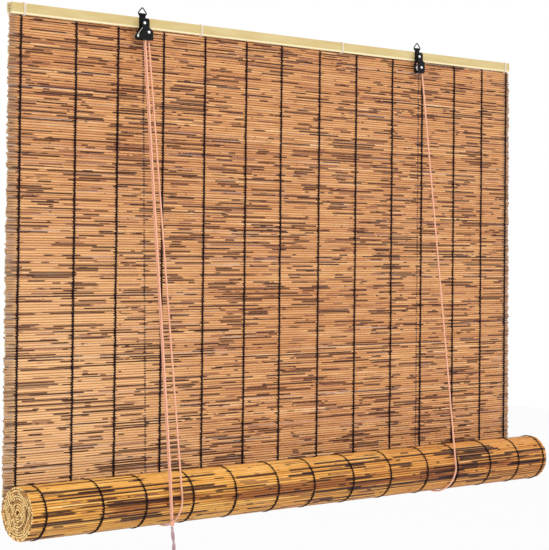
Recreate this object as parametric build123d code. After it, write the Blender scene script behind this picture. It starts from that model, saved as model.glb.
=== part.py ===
from build123d import *

import math
import os
from dataclasses import dataclass

# Reed roll-up blind, partly rolled, hung by two triangular wire rings.
# Millimetres. +X runs along the blind to the right as seen from the room, +Y points away from
# the room towards the window, and +Z is up. The origin is the middle of the hanging line: the
# line between the two points where the hooks bear inside the rings.

# ---- driving dimensions -------------------------------------------------------------------
WIDTH = 1000.0  # head batten
REEDS_LEFT, REEDS_RIGHT = 500.0, 504.0  # from the middle to the reed ends at the top
FLARE_LEFT, FLARE_RIGHT = 7.0, 5.0  # how far the ends have crept outwards where they reach the roll
HANG_DROP = 12.6  # hook bearing point down to the top of the batten
BATTEN_HEIGHT = 15.0
FRONT_SLAT = 4.5
BACK_SLAT = 3.5
SLAT_EDGE = 0.7  # rounding of the slat edges

REED_D = 3.2
REED_PITCH = 3.4
HIDDEN_ROWS, HIDDEN_DROP = 4, 3.0  # reeds between the two slats
SCREEN_Y = 7.0  # plane of the reed centres
SPLIT_Z = -95.0  # above this the screen never moves

ROLL_R = 35.5  # centre of the outermost turn where it leaves the hanging screen
TURN_PITCH = 3.4
BAND = 3.0  # thickness of one turn
HALF_TURNS = 19
ROLL_Z = -677.6
ROLL_LEFT, ROLL_RIGHT = -508.0, 527.0  # the turns have crept a little past the screen
HOOP_STRETCH, HOOP_SHIFT = 1.024, 13.5  # and so have the warps on them

WARP_SHARES = (
    0.011, 0.100, 0.171, 0.251, 0.327, 0.406, 0.476, 0.555, 0.634, 0.715, 0.784, 0.861, 0.930, 0.992,
)
WARP_SHIFT_LEFT, WARP_SHIFT_RIGHT = 3.2, 4.5  # of the outermost warps, from their even places
WARP_WIDTH, WARP_THICK, WARP_GAP = 1.8, 0.5, 0.1
TIE_X = (-480.0, -178.0, 104.0, 489.0)
TIE_WIDTH, TIE_THICK = 2.2, 0.7

SHEET = 1.2  # hanger sheet
PLATE_GAP = 6.7  # inside width between a hanger's two plates
PLATE_TOP, SHOULDER_Z = -14.4, -27.0
TOP_ROUND, LOW_ROUND = 3.8, 2.0
SCREW_Z = -21.2
AXLE_R, RUNNING = 1.5, 0.05
HEAD_R, HEAD_H = 2.3, 1.7
SLEEVE_R = 2.4
SLOT_LOW, SLOT_HIGH, SLOT_W = (-299.6, -39.8), (-290.6, -28.4), 2.5
ROLLER_R = 3.9
CORD_CLEARANCE = 0.3  # a wheel's groove to the cord on it

WIRE_R = 0.8
RING_HALF, RING_RISE, RING_BEND = 9.2, 10.3, 1.8
RING_BASE_Z = -8.6
EYE_WIDTH = 10.4

CORD_D = 2.6
CORD_R = CORD_D / 2
LOOP_R = 38.5  # cord centre round the roll
REAR_Y_TOP = 14.2
CORD_GAP = 0.6  # between two bodies' cords where one goes on from the other
LOCK_BACK_Y, LOCK_FRONT_Y, PULLEY_CORD_Y = -1.95, -4.6, -3.95
LEFT_FRONT_X, LEFT_REAR_X, LEFT_TIED_X = -264.4, -271.6, -280.2
RIGHT_FRONT_X, RIGHT_REAR_X, RIGHT_TIED_X = 296.0, 279.0, 281.0
TIED_Z = -21.0
REAR_KNOT_R, REAR_KNOT_H = 2.9, 8.4
LOCK_CUT, PULLEY_CUT = 1.7, 2.3  # how far a route's corners are cut back round each wheel
CROSS_Y, CROSS_Z = 15.0, -31.2
KNOT_X, KNOT_Z, KNOT_RX, KNOT_RZ = -284.3, -707.0, 4.6, 6.5
PULL_KNEE, PULL_END = (-285.6, -672.0), (-284.5, -703.0)  # X and Z of both pull cords
TAIL_D = 5.2  # the two pull cords twisted together
TIE_TOP_Z = -772.0
COIL_X, COIL_R, BUNDLE_R = -277.4, 28.6, 8.5
TIE_R, TIE_HALF = BUNDLE_R + 2.1, 6.0

# ---- worked out from them -----------------------------------------------------------------
BATTEN_TOP = -HANG_DROP
BATTEN_BOTTOM = BATTEN_TOP - BATTEN_HEIGHT
FRONT_FACE = SHEET / 2
SLAT_INNER = FRONT_FACE + FRONT_SLAT
BACK_INNER = SCREEN_Y + REED_D / 2 + 0.3
BACK_FACE = BACK_INNER + BACK_SLAT
PLATE_INNER = -SHEET / 2 - PLATE_GAP
PLATE_FACE = PLATE_INNER - SHEET
ROLL_Y = SCREEN_Y - ROLL_R
FIRST_ROW = BATTEN_BOTTOM - 2.8
LAST_ROW = ROLL_Z + REED_D / 2 + 0.1
LOOP_REAR_Y, LOOP_FRONT_Y = ROLL_Y + LOOP_R, ROLL_Y - LOOP_R


@dataclass(frozen=True)
class Hanger:
    """One of the two hangers, by the edges of its plates along X."""

    eye: float  # middle of the eye and of the ring
    left: float  # left edge of the front plate's strip
    back_left: float  # left edge of the back plate's strip
    right: float
    left_foot: float  # edges of the lower part
    back_left_foot: float
    right_foot: float
    left_slope: float  # height over which each side widens
    right_slope: float
    bottom: float
    screw_x: float
    axle: tuple[float, float]
    wrap: float  # centre of the cord on the wheel, from the axle

    @property
    def wheel_top(self):
        """Height of the cord where it goes over the wheel."""
        return self.axle[1] + self.wrap


LOCK = Hanger(
    eye=-286.0, left=-291.8, back_left=-291.3, right=-279.7, left_foot=-304.6, back_left_foot=-298.6,
    right_foot=-273.0, left_slope=13.0, right_slope=4.0, bottom=-44.2, screw_x=-288.7, axle=(-281.2, -33.3), wrap=3.9,
)
PULLEY = Hanger(
    eye=270.6, left=264.0, back_left=265.9, right=275.5, left_foot=264.6, back_left_foot=265.0,
    right_foot=280.2, left_slope=3.0, right_slope=3.0, bottom=-46.6, screw_x=267.0, axle=(271.9, -38.2), wrap=5.5,
)


def save(node, *solids):
    """Write one sub-part, of one solid or a group of separate solids."""
    shape = solids[0] if len(solids) == 1 else Compound(children=list(solids))
    export_step(shape, f"parts/{node}.step")


def block(x0, x1, y0, y1, z0, z1):
    """A box between two corners."""
    return Pos((x0 + x1) / 2, (y0 + y1) / 2, (z0 + z1) / 2) * Box(x1 - x0, y1 - y0, z1 - z0)


def rod_x(x0, x1, y, z, radius):
    """A round bar along X."""
    return Pos((x0 + x1) / 2, y, z) * Rot(0, 90, 0) * Cylinder(radius, x1 - x0)


def rod_y(x, y0, y1, z, radius):
    """A round bar along Y."""
    return Pos(x, (y0 + y1) / 2, z) * Rot(90, 0, 0) * Cylinder(radius, abs(y1 - y0))


def fillet_radii(points):
    """The largest tidy arc for each corner of a route: 0.45 of the shorter run over tan(half the turn)."""
    spots = [Vector(*p) for p in points]
    radii = []
    for before, corner, after in zip(spots, spots[1:], spots[2:]):
        turn = math.radians((corner - before).get_angle(after - corner))
        shorter = min((corner - before).length, (after - corner).length)
        radii.append(0.45 * shorter / math.tan(turn / 2))
    return radii


def tube(name, points, diameter):
    """A cord's solid: straight runs joined by tangent arcs, its volume compared with section times length."""
    radii = fillet_radii(points)
    path = FilletPolyline(*points, radius=radii) if radii else Line(*points)
    section = Plane(origin=path @ 0, z_dir=path % 0) * Circle(diameter / 2)
    solid = sweep(section, path=path)
    ideal = math.pi * diameter**2 / 4 * path.length
    print(name, "length", round(path.length, 1), "radii", [round(r, 1) for r in radii],
          "volume ratio", round(solid.volume / ideal, 4))
    return solid


def ball(x, y, z, rx, rz):
    """A knot's plain solid: a ball drawn out along Z."""
    half = Ellipse(rx, rz) & Pos(rx, 0) * Rectangle(2 * rx, 3 * rz)
    return Pos(x, y, z) * revolve(Plane.XZ * half, Axis.Z)


def rear_knot(x):
    """The knot that ties a lift cord behind the batten, as a short plump barrel."""
    barrel = Pos(x, REAR_Y_TOP + 1.4, TIED_Z + 1.5) * Cylinder(REAR_KNOT_R, REAR_KNOT_H)
    return fillet(barrel.edges(), REAR_KNOT_R * 0.45)


# ---- head batten --------------------------------------------------------------------------
def slat(y0, y1):
    """One bamboo slat of the head batten, with softened long edges."""
    body = block(-WIDTH / 2, WIDTH / 2, y0, y1, BATTEN_BOTTOM, BATTEN_TOP)
    return fillet(body.edges().filter_by(Axis.X), SLAT_EDGE)


def thread_tie(x):
    """A pale thread tie: a flat band round both slats, crossing under the batten."""
    y0, y1 = FRONT_FACE - 0.05, BACK_FACE + 0.05
    z0, z1 = BATTEN_BOTTOM - 0.05, BATTEN_TOP + 0.05
    half = TIE_WIDTH / 2
    outer = block(x - half, x + half, y0 - TIE_THICK, y1 + TIE_THICK, z0 - TIE_THICK, z1 + TIE_THICK)
    return outer - block(x - half - 1, x + half + 1, y0, y1, z0, z1)


# ---- reeds and warps ----------------------------------------------------------------------
def reed_ends(z):
    """Both ends of the reeds at a height, which creep outwards towards the roll."""
    down = (FIRST_ROW - z) / (FIRST_ROW - LAST_ROW)
    return -REEDS_LEFT - FLARE_LEFT * down, REEDS_RIGHT + FLARE_RIGHT * down


def reed_rows():
    """Heights of the hanging reeds below the batten."""
    count = round((FIRST_ROW - LAST_ROW) / REED_PITCH)
    return [FIRST_ROW - (FIRST_ROW - LAST_ROW) * k / count for k in range(count + 1)]


def reed(z):
    """One reed of the hanging screen."""
    return rod_x(*reed_ends(z), SCREEN_Y, z, REED_D / 2)


def warp_pair(x, z_low, z_high):
    """One warp: a flat thread down each face of the reeds."""
    front = SCREEN_Y - REED_D / 2 - WARP_GAP
    back = SCREEN_Y + REED_D / 2 + WARP_GAP
    return [
        block(x - WARP_WIDTH / 2, x + WARP_WIDTH / 2, front - WARP_THICK, front, z_low, z_high),
        block(x - WARP_WIDTH / 2, x + WARP_WIDTH / 2, back, back + WARP_THICK, z_low, z_high),
    ]


# ---- the roll -----------------------------------------------------------------------------
def half_turn(k, offset, reverse=False):
    """One half turn of the roll's spiral, moved outwards by offset, as an arc in the YZ plane."""
    radius = ROLL_R - TURN_PITCH / 4 - k * TURN_PITCH / 2 + offset
    side = 1 if k % 2 == 0 else -1
    middle = ROLL_Y + side * TURN_PITCH / 4
    start, end = (middle + side * radius, ROLL_Z), (middle - side * radius, ROLL_Z)
    if reverse:
        start, end = end, start
    return ThreePointArc(start, (middle, ROLL_Z - side * radius), end)


def rolled_band():
    """All the turns as one solid: half turns whose centres step from side to side, which meet tangent."""
    turns = range(HALF_TURNS)
    outside = [half_turn(k, BAND / 2) for k in turns]
    inside = [half_turn(k, -BAND / 2, reverse=True) for k in reversed(turns)]
    ends = [Line(outside[-1] @ 1, inside[0] @ 0), Line(inside[-1] @ 1, outside[0] @ 0)]
    outline = Wire(outside + [ends[0]] + inside + [ends[1]])
    return Pos(ROLL_LEFT, 0, 0) * extrude(Plane.YZ * make_face(outline), ROLL_RIGHT - ROLL_LEFT)


def hoop_part(k, angle0, angle1):
    """Part of a warp's hoop on the outermost turn, as a flat face in the YZ plane."""
    side = 1 if k % 2 == 0 else -1
    middle = ROLL_Y + side * TURN_PITCH / 4
    inner = ROLL_R - TURN_PITCH / 4 - k * TURN_PITCH / 2 + BAND / 2 + 0.05
    ring = Circle(inner + WARP_THICK) - Circle(inner)
    reach = 2 * ROLL_R

    def spoke(angle):
        """A point far out at an angle."""
        return (reach * math.cos(math.radians(angle)), reach * math.sin(math.radians(angle)))

    middle_angle = (angle0 + angle1) / 2
    wedge = make_face(Polyline((0, 0), spoke(angle0), spoke(middle_angle), spoke(angle1), close=True))
    return Plane.YZ * (Pos(middle, ROLL_Z) * (ring & wedge))


def rolled_warp(x):
    """One warp's hoop, from just under where the screen joins the roll round to the top."""
    lower = hoop_part(0, -180, -95) + hoop_part(0, -95, -6)
    upper = hoop_part(1, 28, 105) + hoop_part(1, 105, 180)
    left = Pos(x - WARP_WIDTH / 2, 0, 0)
    return left * extrude(lower, WARP_WIDTH) + left * extrude(upper, WARP_WIDTH)


# ---- hangers ------------------------------------------------------------------------------
def plate_outline(left, right, left_foot, hanger, top):
    """A hanger plate's outline: a strip with rounded top corners that widens below its shoulders."""
    corners = [
        (left, top), (right, top), (right, SHOULDER_Z),
        (hanger.right_foot, SHOULDER_Z - hanger.right_slope),
        (hanger.right_foot, hanger.bottom), (left_foot, hanger.bottom),
        (left_foot, SHOULDER_Z - hanger.left_slope), (left, SHOULDER_Z),
    ]
    face = make_face(Polyline(*corners, close=True))
    face = fillet(face.vertices().sort_by(Axis.Y)[-2:], TOP_ROUND)
    return fillet(face.vertices().sort_by(Axis.Y)[:2], LOW_ROUND)


def plate(outline, y_front):
    """A hanger plate of sheet, its front at y_front."""
    return extrude(Plane.XZ * outline, -SHEET).moved(Location((0, y_front, 0)))


def slot_cut():
    """The locking roller's slanted slot, cut through the lock's front plate."""
    (x0, z0), (x1, z1) = SLOT_LOW, SLOT_HIGH
    length = math.hypot(x1 - x0, z1 - z0) + SLOT_W
    lean = math.degrees(math.atan2(z1 - z0, x1 - x0))
    bar = extrude(Plane.XZ * (Rot(0, 0, lean) * SlotOverall(length, SLOT_W)), SHEET, both=True)
    return Pos((x0 + x1) / 2, PLATE_FACE + SHEET / 2, (z0 + z1) / 2) * bar


def pin_holes(hanger, y0, y1):
    """The holes for a hanger's fastener and axle."""
    x, z = hanger.axle
    return rod_y(hanger.screw_x, y0, y1, SCREW_Z, AXLE_R) + rod_y(x, y0, y1, z, AXLE_R)


def back_plate(hanger):
    """The hanger's back plate, whose top curls round the ring's base wire."""
    outline = plate_outline(hanger.back_left, hanger.right, hanger.back_left_foot, hanger, BATTEN_TOP - 0.2)
    eye0, eye1 = hanger.eye - EYE_WIDTH / 2, hanger.eye + EYE_WIDTH / 2
    neck0, neck1 = max(eye0, hanger.back_left), min(eye1, hanger.right)
    neck = block(neck0, neck1, -SHEET / 2, SHEET / 2, BATTEN_TOP - 4, RING_BASE_Z)
    curl = rod_x(eye0, eye1, 0, RING_BASE_Z, WIRE_R + RUNNING + SHEET)
    bore = rod_x(eye0 - 1, eye1 + 1, 0, RING_BASE_Z, WIRE_R + RUNNING)
    return plate(outline, -SHEET / 2) + neck + curl - bore - pin_holes(hanger, -SHEET, SHEET)


def front_plate(hanger):
    """The hanger's front plate."""
    outline = plate_outline(hanger.left, hanger.right, hanger.left_foot, hanger, PLATE_TOP)
    return plate(outline, PLATE_FACE) - pin_holes(hanger, PLATE_FACE - 1, PLATE_INNER + 1)


def rivet_head(x, z):
    """A domed head on a hanger's front face."""
    dome = rod_y(x, PLATE_FACE - HEAD_H, PLATE_FACE, z, HEAD_R)
    return fillet(dome.edges().group_by(Axis.Y)[0], HEAD_H * 0.85)


def fixing_screw(x):
    """The upper fastener: through both plates and the sleeve into the front slat."""
    return rivet_head(x, SCREW_Z) + rod_y(x, PLATE_FACE, SLAT_INNER - 0.4, SCREW_Z, AXLE_R)


def axle_pin(axle):
    """The lower rivet, which is the wheel's axle, with a thin head behind the back plate."""
    x, z = axle
    shank = rod_y(x, PLATE_FACE, SHEET / 2, z, AXLE_R)
    return rivet_head(x, z) + shank + rod_y(x, SHEET / 2, SHEET / 2 + 0.8, z, HEAD_R)


def sleeve(x):
    """The sleeve that holds the two plates apart round the upper fastener."""
    spacer = rod_y(x, PLATE_INNER, -SHEET / 2, SCREW_Z, SLEEVE_R)
    return spacer - rod_y(x, PLATE_INNER - 1, 1, SCREW_Z, AXLE_R)


def wheel(hanger, flange):
    """A grooved wheel on its axle, with flanges that stand above the groove by flange."""
    y_back, y_front = -SHEET / 2 - 0.3, PLATE_INNER + 0.3
    half = abs(y_back - y_front) / 2
    bore, groove = AXLE_R + RUNNING, hanger.wrap - CORD_R - CORD_CLEARANCE
    rim = groove + flange
    profile = make_face(Polyline(
        (bore, -half), (rim, -half), (rim, -half + 0.5), (groove, -half + 1.1),
        (groove, half - 1.1), (rim, half - 0.5), (rim, half), (bore, half), close=True))
    return Pos(hanger.axle[0], (y_back + y_front) / 2, hanger.axle[1]) * revolve(profile, Axis.Y)


def locking_roller():
    """The lock's roller, whose trunnion runs in the front plate's slot."""
    x, z = SLOT_LOW
    barrel = rod_y(x, -SHEET / 2 - 0.35, PLATE_INNER + 0.35, z, ROLLER_R)
    return barrel + rod_y(x, PLATE_INNER + 0.35, PLATE_FACE - 0.5, z, SLOT_W / 2 - 0.1)


def triangle_ring(x):
    """The triangular wire ring, its base wire in the curl of the back plate."""
    corners = [(-RING_HALF, RING_BASE_Z), (RING_HALF, RING_BASE_Z), (0, RING_BASE_Z + RING_RISE)]
    loop = FilletPolyline(*corners, radius=RING_BEND, close=True)
    path = Plane.XZ * loop
    section = Plane(origin=path @ 0, z_dir=path % 0) * Circle(WIRE_R)
    return Pos(x, 0, 0) * sweep(section, path=path)


# ---- cord routes --------------------------------------------------------------------------
def touch_angle(y_top, z_top):
    """Where a straight run from a hanger first meets the circle that the cord makes round the roll."""
    dy, dz = ROLL_Y - y_top, z_top - ROLL_Z
    lean = math.atan2(-dy, dz)
    return math.pi - (math.asin(LOOP_R / math.hypot(dy, dz)) - lean)


def on_loop(angle, radius=LOOP_R):
    """A point of the circle round the roll, in Y and Z, from an angle in the YZ plane."""
    return ROLL_Y + radius * math.cos(angle), ROLL_Z + radius * math.sin(angle)


def loop_route(x_front, x_rear, start):
    """The lift cord under the roll, from its front meeting angle round to the rear, as tangent corners."""
    corners = 4
    step = (2 * math.pi - start) / corners
    points = [(x_front, *on_loop(start))]
    for k in range(corners):
        x = x_front + (x_rear - x_front) * (k + 0.5) / corners
        points.append((x, *on_loop(start + step * (k + 0.5), LOOP_R / math.cos(step / 2))))
    points.append((x_rear, *on_loop(2 * math.pi)))
    return points


def pull_route(y_top, y_low):
    """One pull cord, from the lock's wheel down to the knot."""
    (knee_x, knee_z), (end_x, end_z) = PULL_KNEE, PULL_END
    return [(PULL_X, y_top, LOCK.axle[1]), (knee_x, y_low, knee_z), (end_x, y_low, end_z)]


def stopped_short(start, end):
    """The end of a run, moved back from where another body's cord goes on."""
    run = Vector(*end) - Vector(*start)
    stop = Vector(*end) - run.normalized() * CORD_GAP
    return (stop.X, stop.Y, stop.Z)


LEFT_TOP = (LOCK.axle[0] + LOCK.wrap, LOCK_BACK_Y, LOCK.axle[1])
RIGHT_TOP = (PULLEY.axle[0] + PULLEY.wrap, PULLEY_CORD_Y, PULLEY.axle[1])
PULL_X = LOCK.axle[0] - LOCK.wrap
PULL_BACK_Y, PULL_FRONT_Y = LOOP_FRONT_Y - 0.6, LOOP_FRONT_Y - 3.3
TAIL_Y = (PULL_BACK_Y + PULL_FRONT_Y) / 2
TAIL_TOP_Z = KNOT_Z - KNOT_RZ + 1.0
BUNDLE_Z = TIE_TOP_Z - TIE_R
COIL_Z = BUNDLE_Z - COIL_R
LEFT_ANGLE, RIGHT_ANGLE = touch_angle(*LEFT_TOP[1:]), touch_angle(*RIGHT_TOP[1:])
LEFT_TOUCH = (LEFT_FRONT_X, *on_loop(LEFT_ANGLE))
RIGHT_TOUCH = (RIGHT_FRONT_X, *on_loop(RIGHT_ANGLE))
LOOP_END_Z = ROLL_Z + CORD_GAP
LOCK_TOP_Z, PULLEY_TOP_Z = LOCK.wheel_top, PULLEY.wheel_top

ROUTES = {
    "lift_cord_front_left": [LEFT_TOP, stopped_short(LEFT_TOP, LEFT_TOUCH)],
    "lift_cord_front_right": [RIGHT_TOP, stopped_short(RIGHT_TOP, RIGHT_TOUCH)],
    "lift_loop_left": loop_route(LEFT_FRONT_X, LEFT_REAR_X, LEFT_ANGLE),
    "lift_loop_right": loop_route(RIGHT_FRONT_X, RIGHT_REAR_X, RIGHT_ANGLE),
    "lift_cord_rear_left": [(LEFT_REAR_X, LOOP_REAR_Y, LOOP_END_Z), (LEFT_TIED_X, REAR_Y_TOP, TIED_Z)],
    "lift_cord_rear_right": [(RIGHT_REAR_X, LOOP_REAR_Y, LOOP_END_Z), (RIGHT_TIED_X, REAR_Y_TOP, TIED_Z)],
    "lock_cord": [
        LEFT_TOP, (LEFT_TOP[0], LOCK_BACK_Y, LOCK_TOP_Z - LOCK_CUT),
        (LEFT_TOP[0] - LOCK_CUT, LOCK_BACK_Y, LOCK_TOP_Z),
        (PULL_X + LOCK_CUT, LOCK_BACK_Y, LOCK_TOP_Z), (PULL_X, LOCK_BACK_Y, LOCK_TOP_Z - LOCK_CUT),
        (PULL_X, LOCK_BACK_Y, LOCK.axle[1]),
    ],
    "cross_cord": [
        RIGHT_TOP, (RIGHT_TOP[0], PULLEY_CORD_Y, PULLEY_TOP_Z - PULLEY_CUT),
        (RIGHT_TOP[0] - PULLEY_CUT, PULLEY_CORD_Y, PULLEY_TOP_Z), (271.6, PULLEY_CORD_Y, PULLEY_TOP_Z + 0.2),
        (268.9, 0.8, CROSS_Z), (267.2, 10.2, CROSS_Z), (261.6, CROSS_Y, CROSS_Z),
        (-257.8, CROSS_Y, CROSS_Z + 0.2), (-263.2, 10.2, CROSS_Z + 0.6), (-267.4, 0.6, CROSS_Z + 1.4),
        (-272.2, LOCK_FRONT_Y, LOCK_TOP_Z - 0.1), (PULL_X + LOCK_CUT, LOCK_FRONT_Y, LOCK_TOP_Z),
        (PULL_X, LOCK_FRONT_Y, LOCK_TOP_Z - LOCK_CUT), (PULL_X, LOCK_FRONT_Y, LOCK.axle[1]),
    ],
    "pull_cord_back": pull_route(LOCK_BACK_Y, PULL_BACK_Y),
    "pull_cord_front": pull_route(LOCK_FRONT_Y, PULL_FRONT_Y),
    "pull_tail": [
        (-283.8, TAIL_Y, TAIL_TOP_Z), (-282.0, TAIL_Y, -727.0), (-279.2, TAIL_Y, -744.0),
        (COIL_X, TAIL_Y, TIE_TOP_Z),
    ],
}


def main():
    """Build and write every sub-part."""
    os.makedirs("parts", exist_ok=True)
    cords = {name: tube(name, route, CORD_D) for name, route in ROUTES.items() if name != "pull_tail"}
    cords["pull_tail"] = tube("pull_tail", ROUTES["pull_tail"], TAIL_D)
    through = tube("cross_cord_way", ROUTES["cross_cord"], CORD_D + 2 * CORD_CLEARANCE)

    hangers = (LOCK, PULLEY)
    screws = [fixing_screw(hanger.screw_x) for hanger in hangers]
    save("batten_front", slat(FRONT_FACE, SLAT_INNER) - screws[0] - screws[1])
    save("batten_back", slat(BACK_INNER, BACK_FACE))
    save("batten_ties", *[thread_tie(x) for x in TIE_X])

    rows = reed_rows()
    hidden = [BATTEN_TOP - HIDDEN_DROP - REED_PITCH * k for k in range(HIDDEN_ROWS)]
    save("reeds_in_batten", *[reed(z) for z in hidden])
    upper = []
    for z in [z for z in rows if z > SPLIT_Z]:
        upper.extend((reed(z) - through).solids())
    save("reeds_upper", *upper)
    save("reeds_lower", *[reed(z) for z in rows if z <= SPLIT_Z])

    even_x = [(share - 0.5) * WIDTH for share in WARP_SHARES]
    slip = WARP_SHIFT_RIGHT - WARP_SHIFT_LEFT
    warp_x = [x + WARP_SHIFT_LEFT + slip * share for x, share in zip(even_x, WARP_SHARES)]
    meeting = SPLIT_Z - REED_PITCH / 2
    tops = [solid for x in warp_x for solid in warp_pair(x, meeting, BATTEN_BOTTOM - 0.9)]
    bottoms = [solid for x in warp_x for solid in warp_pair(x, ROLL_Z + 8, meeting - 0.1)]
    save("warps_upper", *tops)
    save("warps_lower", *bottoms)

    save("rolled_screen", rolled_band())
    save("rolled_warps", *[rolled_warp(x * HOOP_STRETCH + HOOP_SHIFT) for x in even_x])

    save("lock_back_plate", back_plate(LOCK) - through)
    save("lock_front_plate", front_plate(LOCK) - slot_cut())
    save("pulley_back_plate", back_plate(PULLEY) - through)
    save("pulley_front_plate", front_plate(PULLEY))
    save("fixing_screws", *screws)
    save("sleeves", *[sleeve(hanger.screw_x) for hanger in hangers])
    save("lock_axle", axle_pin(LOCK.axle))
    save("pulley_axle", axle_pin(PULLEY.axle))
    save("lock_pulley", wheel(LOCK, 0.1))
    save("pulley_wheel", wheel(PULLEY, 0.6))
    save("locking_roller", locking_roller())
    save("ring_left", triangle_ring(LOCK.eye))
    save("ring_right", triangle_ring(PULLEY.eye))

    rear_knots = [rear_knot(x) for x in (LEFT_TIED_X, RIGHT_TIED_X)]
    save("rear_knots", *rear_knots)
    for side, knot in zip(("left", "right"), rear_knots):
        cords[f"lift_cord_rear_{side}"] = cords[f"lift_cord_rear_{side}"] - knot
    knot = ball(KNOT_X, TAIL_Y, KNOT_Z, KNOT_RX, KNOT_RZ)
    for name in ("pull_cord_back", "pull_cord_front", "pull_tail"):
        cords[name] = cords[name] - knot
    save("cord_knot", knot)
    coil = Pos(COIL_X, TAIL_Y, COIL_Z) * Rot(90, 0, 0) * Torus(COIL_R, BUNDLE_R)
    tie = rod_x(COIL_X - TIE_HALF, COIL_X + TIE_HALF, TAIL_Y, BUNDLE_Z, TIE_R) - coil
    end_knot = ball(COIL_X, TAIL_Y, BUNDLE_Z - BUNDLE_R - 10.5, 4.4, 5.6)
    stub = Pos(COIL_X, TAIL_Y, BUNDLE_Z - BUNDLE_R - 4.5) * Cylinder(TAIL_D / 2, 9.0)
    cords["pull_tail"] = cords["pull_tail"] - tie
    save("cord_coil", coil)
    save("coil_tie", tie)
    save("tail_end", end_knot + stub - tie - coil)
    for name, solid in cords.items():
        save(name, *solid.solids())


if __name__ == "__main__":
    main()
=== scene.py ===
"""Looks of the reed roll-up blind: reeds, twined warps, roll, batten, hangers, rings and cords."""

from __future__ import annotations

import logging
import math
from dataclasses import dataclass, field
from enum import Enum
from typing import Sequence, Union

import bpy
import numpy as np
from mathutils import Matrix, Vector

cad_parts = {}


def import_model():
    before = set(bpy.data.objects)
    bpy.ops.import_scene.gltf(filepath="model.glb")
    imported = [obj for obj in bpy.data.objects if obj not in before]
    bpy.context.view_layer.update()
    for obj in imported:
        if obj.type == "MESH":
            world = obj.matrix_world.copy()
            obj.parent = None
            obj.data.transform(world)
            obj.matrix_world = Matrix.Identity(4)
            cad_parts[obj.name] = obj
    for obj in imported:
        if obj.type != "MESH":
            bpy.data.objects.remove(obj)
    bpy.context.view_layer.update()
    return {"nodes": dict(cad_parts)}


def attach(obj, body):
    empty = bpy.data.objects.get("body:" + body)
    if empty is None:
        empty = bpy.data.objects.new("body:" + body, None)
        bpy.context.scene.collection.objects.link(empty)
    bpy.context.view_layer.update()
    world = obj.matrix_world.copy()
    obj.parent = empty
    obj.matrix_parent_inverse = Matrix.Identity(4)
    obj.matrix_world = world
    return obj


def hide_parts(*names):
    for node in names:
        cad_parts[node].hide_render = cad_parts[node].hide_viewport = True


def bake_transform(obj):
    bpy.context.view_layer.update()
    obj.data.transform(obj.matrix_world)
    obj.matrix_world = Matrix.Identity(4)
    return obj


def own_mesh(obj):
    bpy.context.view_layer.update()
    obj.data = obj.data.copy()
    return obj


LOG = logging.getLogger("blind")
# One millimetre and one turn, then how far the roll rises, in metres.
MM = 0.001
TURN = 2 * math.pi
LIFT = 0.56
Point = tuple[float, float, float]
Color = tuple[float, float, float]
Seat = tuple[float, float, float, float]
Face = tuple[int, ...]


# ---- node trees ---------------------------------------------------------------------------
class Wire:
    """One socket's output, on which Python's operators add Math nodes."""

    def __init__(self, tree: "Tree", socket: bpy.types.NodeSocket) -> None:
        """Wrap a socket of a tree."""
        self.tree = tree
        self.socket = socket

    def math(self, operation: str, *others: "Number", clamp: bool = False) -> "Wire":
        """Add one Math node.

        Args:
            operation: the node's operation.
            others: its second and third values.
            clamp: whether the result stays between 0 and 1.

        Returns:
            The node's result.
        """
        settings = {"operation": operation, "use_clamp": clamp}
        return self.tree.add("ShaderNodeMath", settings, dict(enumerate((self, *others))))

    def __add__(self, other: "Number") -> "Wire":
        """self + other."""
        return self.math("ADD", other)

    __radd__ = __add__

    def __mul__(self, other: "Number") -> "Wire":
        """self * other."""
        return self.math("MULTIPLY", other)

    __rmul__ = __mul__

    def __sub__(self, other: "Number") -> "Wire":
        """self - other."""
        return self.math("SUBTRACT", other)

    def __rsub__(self, other: "Number") -> "Wire":
        """other - self."""
        return (self * -1) + other

    def __truediv__(self, other: "Number") -> "Wire":
        """self / other."""
        return self.math("DIVIDE", other)

    def step(self, low: float, high: float) -> "Wire":
        """A smooth rise from 0 at low to 1 at high, or a fall where low is the greater.

        Args:
            low: where the result is 0.
            high: where the result is 1.

        Returns:
            The smooth step.
        """
        share = ((self - low) / (high - low)).math("ADD", 0.0, clamp=True)
        return share * share * (3 - share * 2)


Number = Union[Wire, float, int]


class Tree:
    """A node tree with one method that adds a node, its settings and its links."""

    def __init__(self, nodes_of: bpy.types.NodeTree) -> None:
        """Start on an empty tree."""
        self.tree = nodes_of
        self.tree.nodes.clear()

    def node(self, kind: str, settings: dict | None = None, values: dict | None = None) -> bpy.types.Node:
        """Add a node.

        Args:
            kind: its Blender type.
            settings: its properties, which are set first.
            values: its inputs by name or number, as values or wires.

        Returns:
            The node.
        """
        made = self.tree.nodes.new(kind)
        for name, value in (settings or {}).items():
            setattr(made, name, value)
        for name, value in (values or {}).items():
            if isinstance(value, Wire):
                self.tree.links.new(value.socket, made.inputs[name])
            else:
                made.inputs[name].default_value = value
        return made

    def add(self, kind: str, settings: dict | None = None, values: dict | None = None,
            output: int | str = 0) -> Wire:
        """Add a node and keep one of its outputs.

        Args:
            kind: its Blender type.
            settings: its properties, which are set first.
            values: its inputs by name or number, as values or wires.
            output: the output's name or number.

        Returns:
            That output.
        """
        return Wire(self, self.node(kind, settings, values).outputs[output])

    def vector(self, x: Number = 0.0, y: Number = 0.0, z: Number = 0.0) -> Wire:
        """Three numbers as a vector."""
        return self.add("ShaderNodeCombineXYZ", None, {0: x, 1: y, 2: z})

    def parts(self, vector: Wire) -> list[Wire]:
        """A vector's three numbers."""
        split = self.node("ShaderNodeSeparateXYZ", None, {0: vector})
        return [Wire(self, socket) for socket in split.outputs]

    def noise(self, vector: Wire, scale: float = 1.0, detail: float = 2.0) -> Wire:
        """Smooth noise from 0 to 1."""
        return self.add("ShaderNodeTexNoise", None, {"Vector": vector, "Scale": scale, "Detail": detail})


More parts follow.
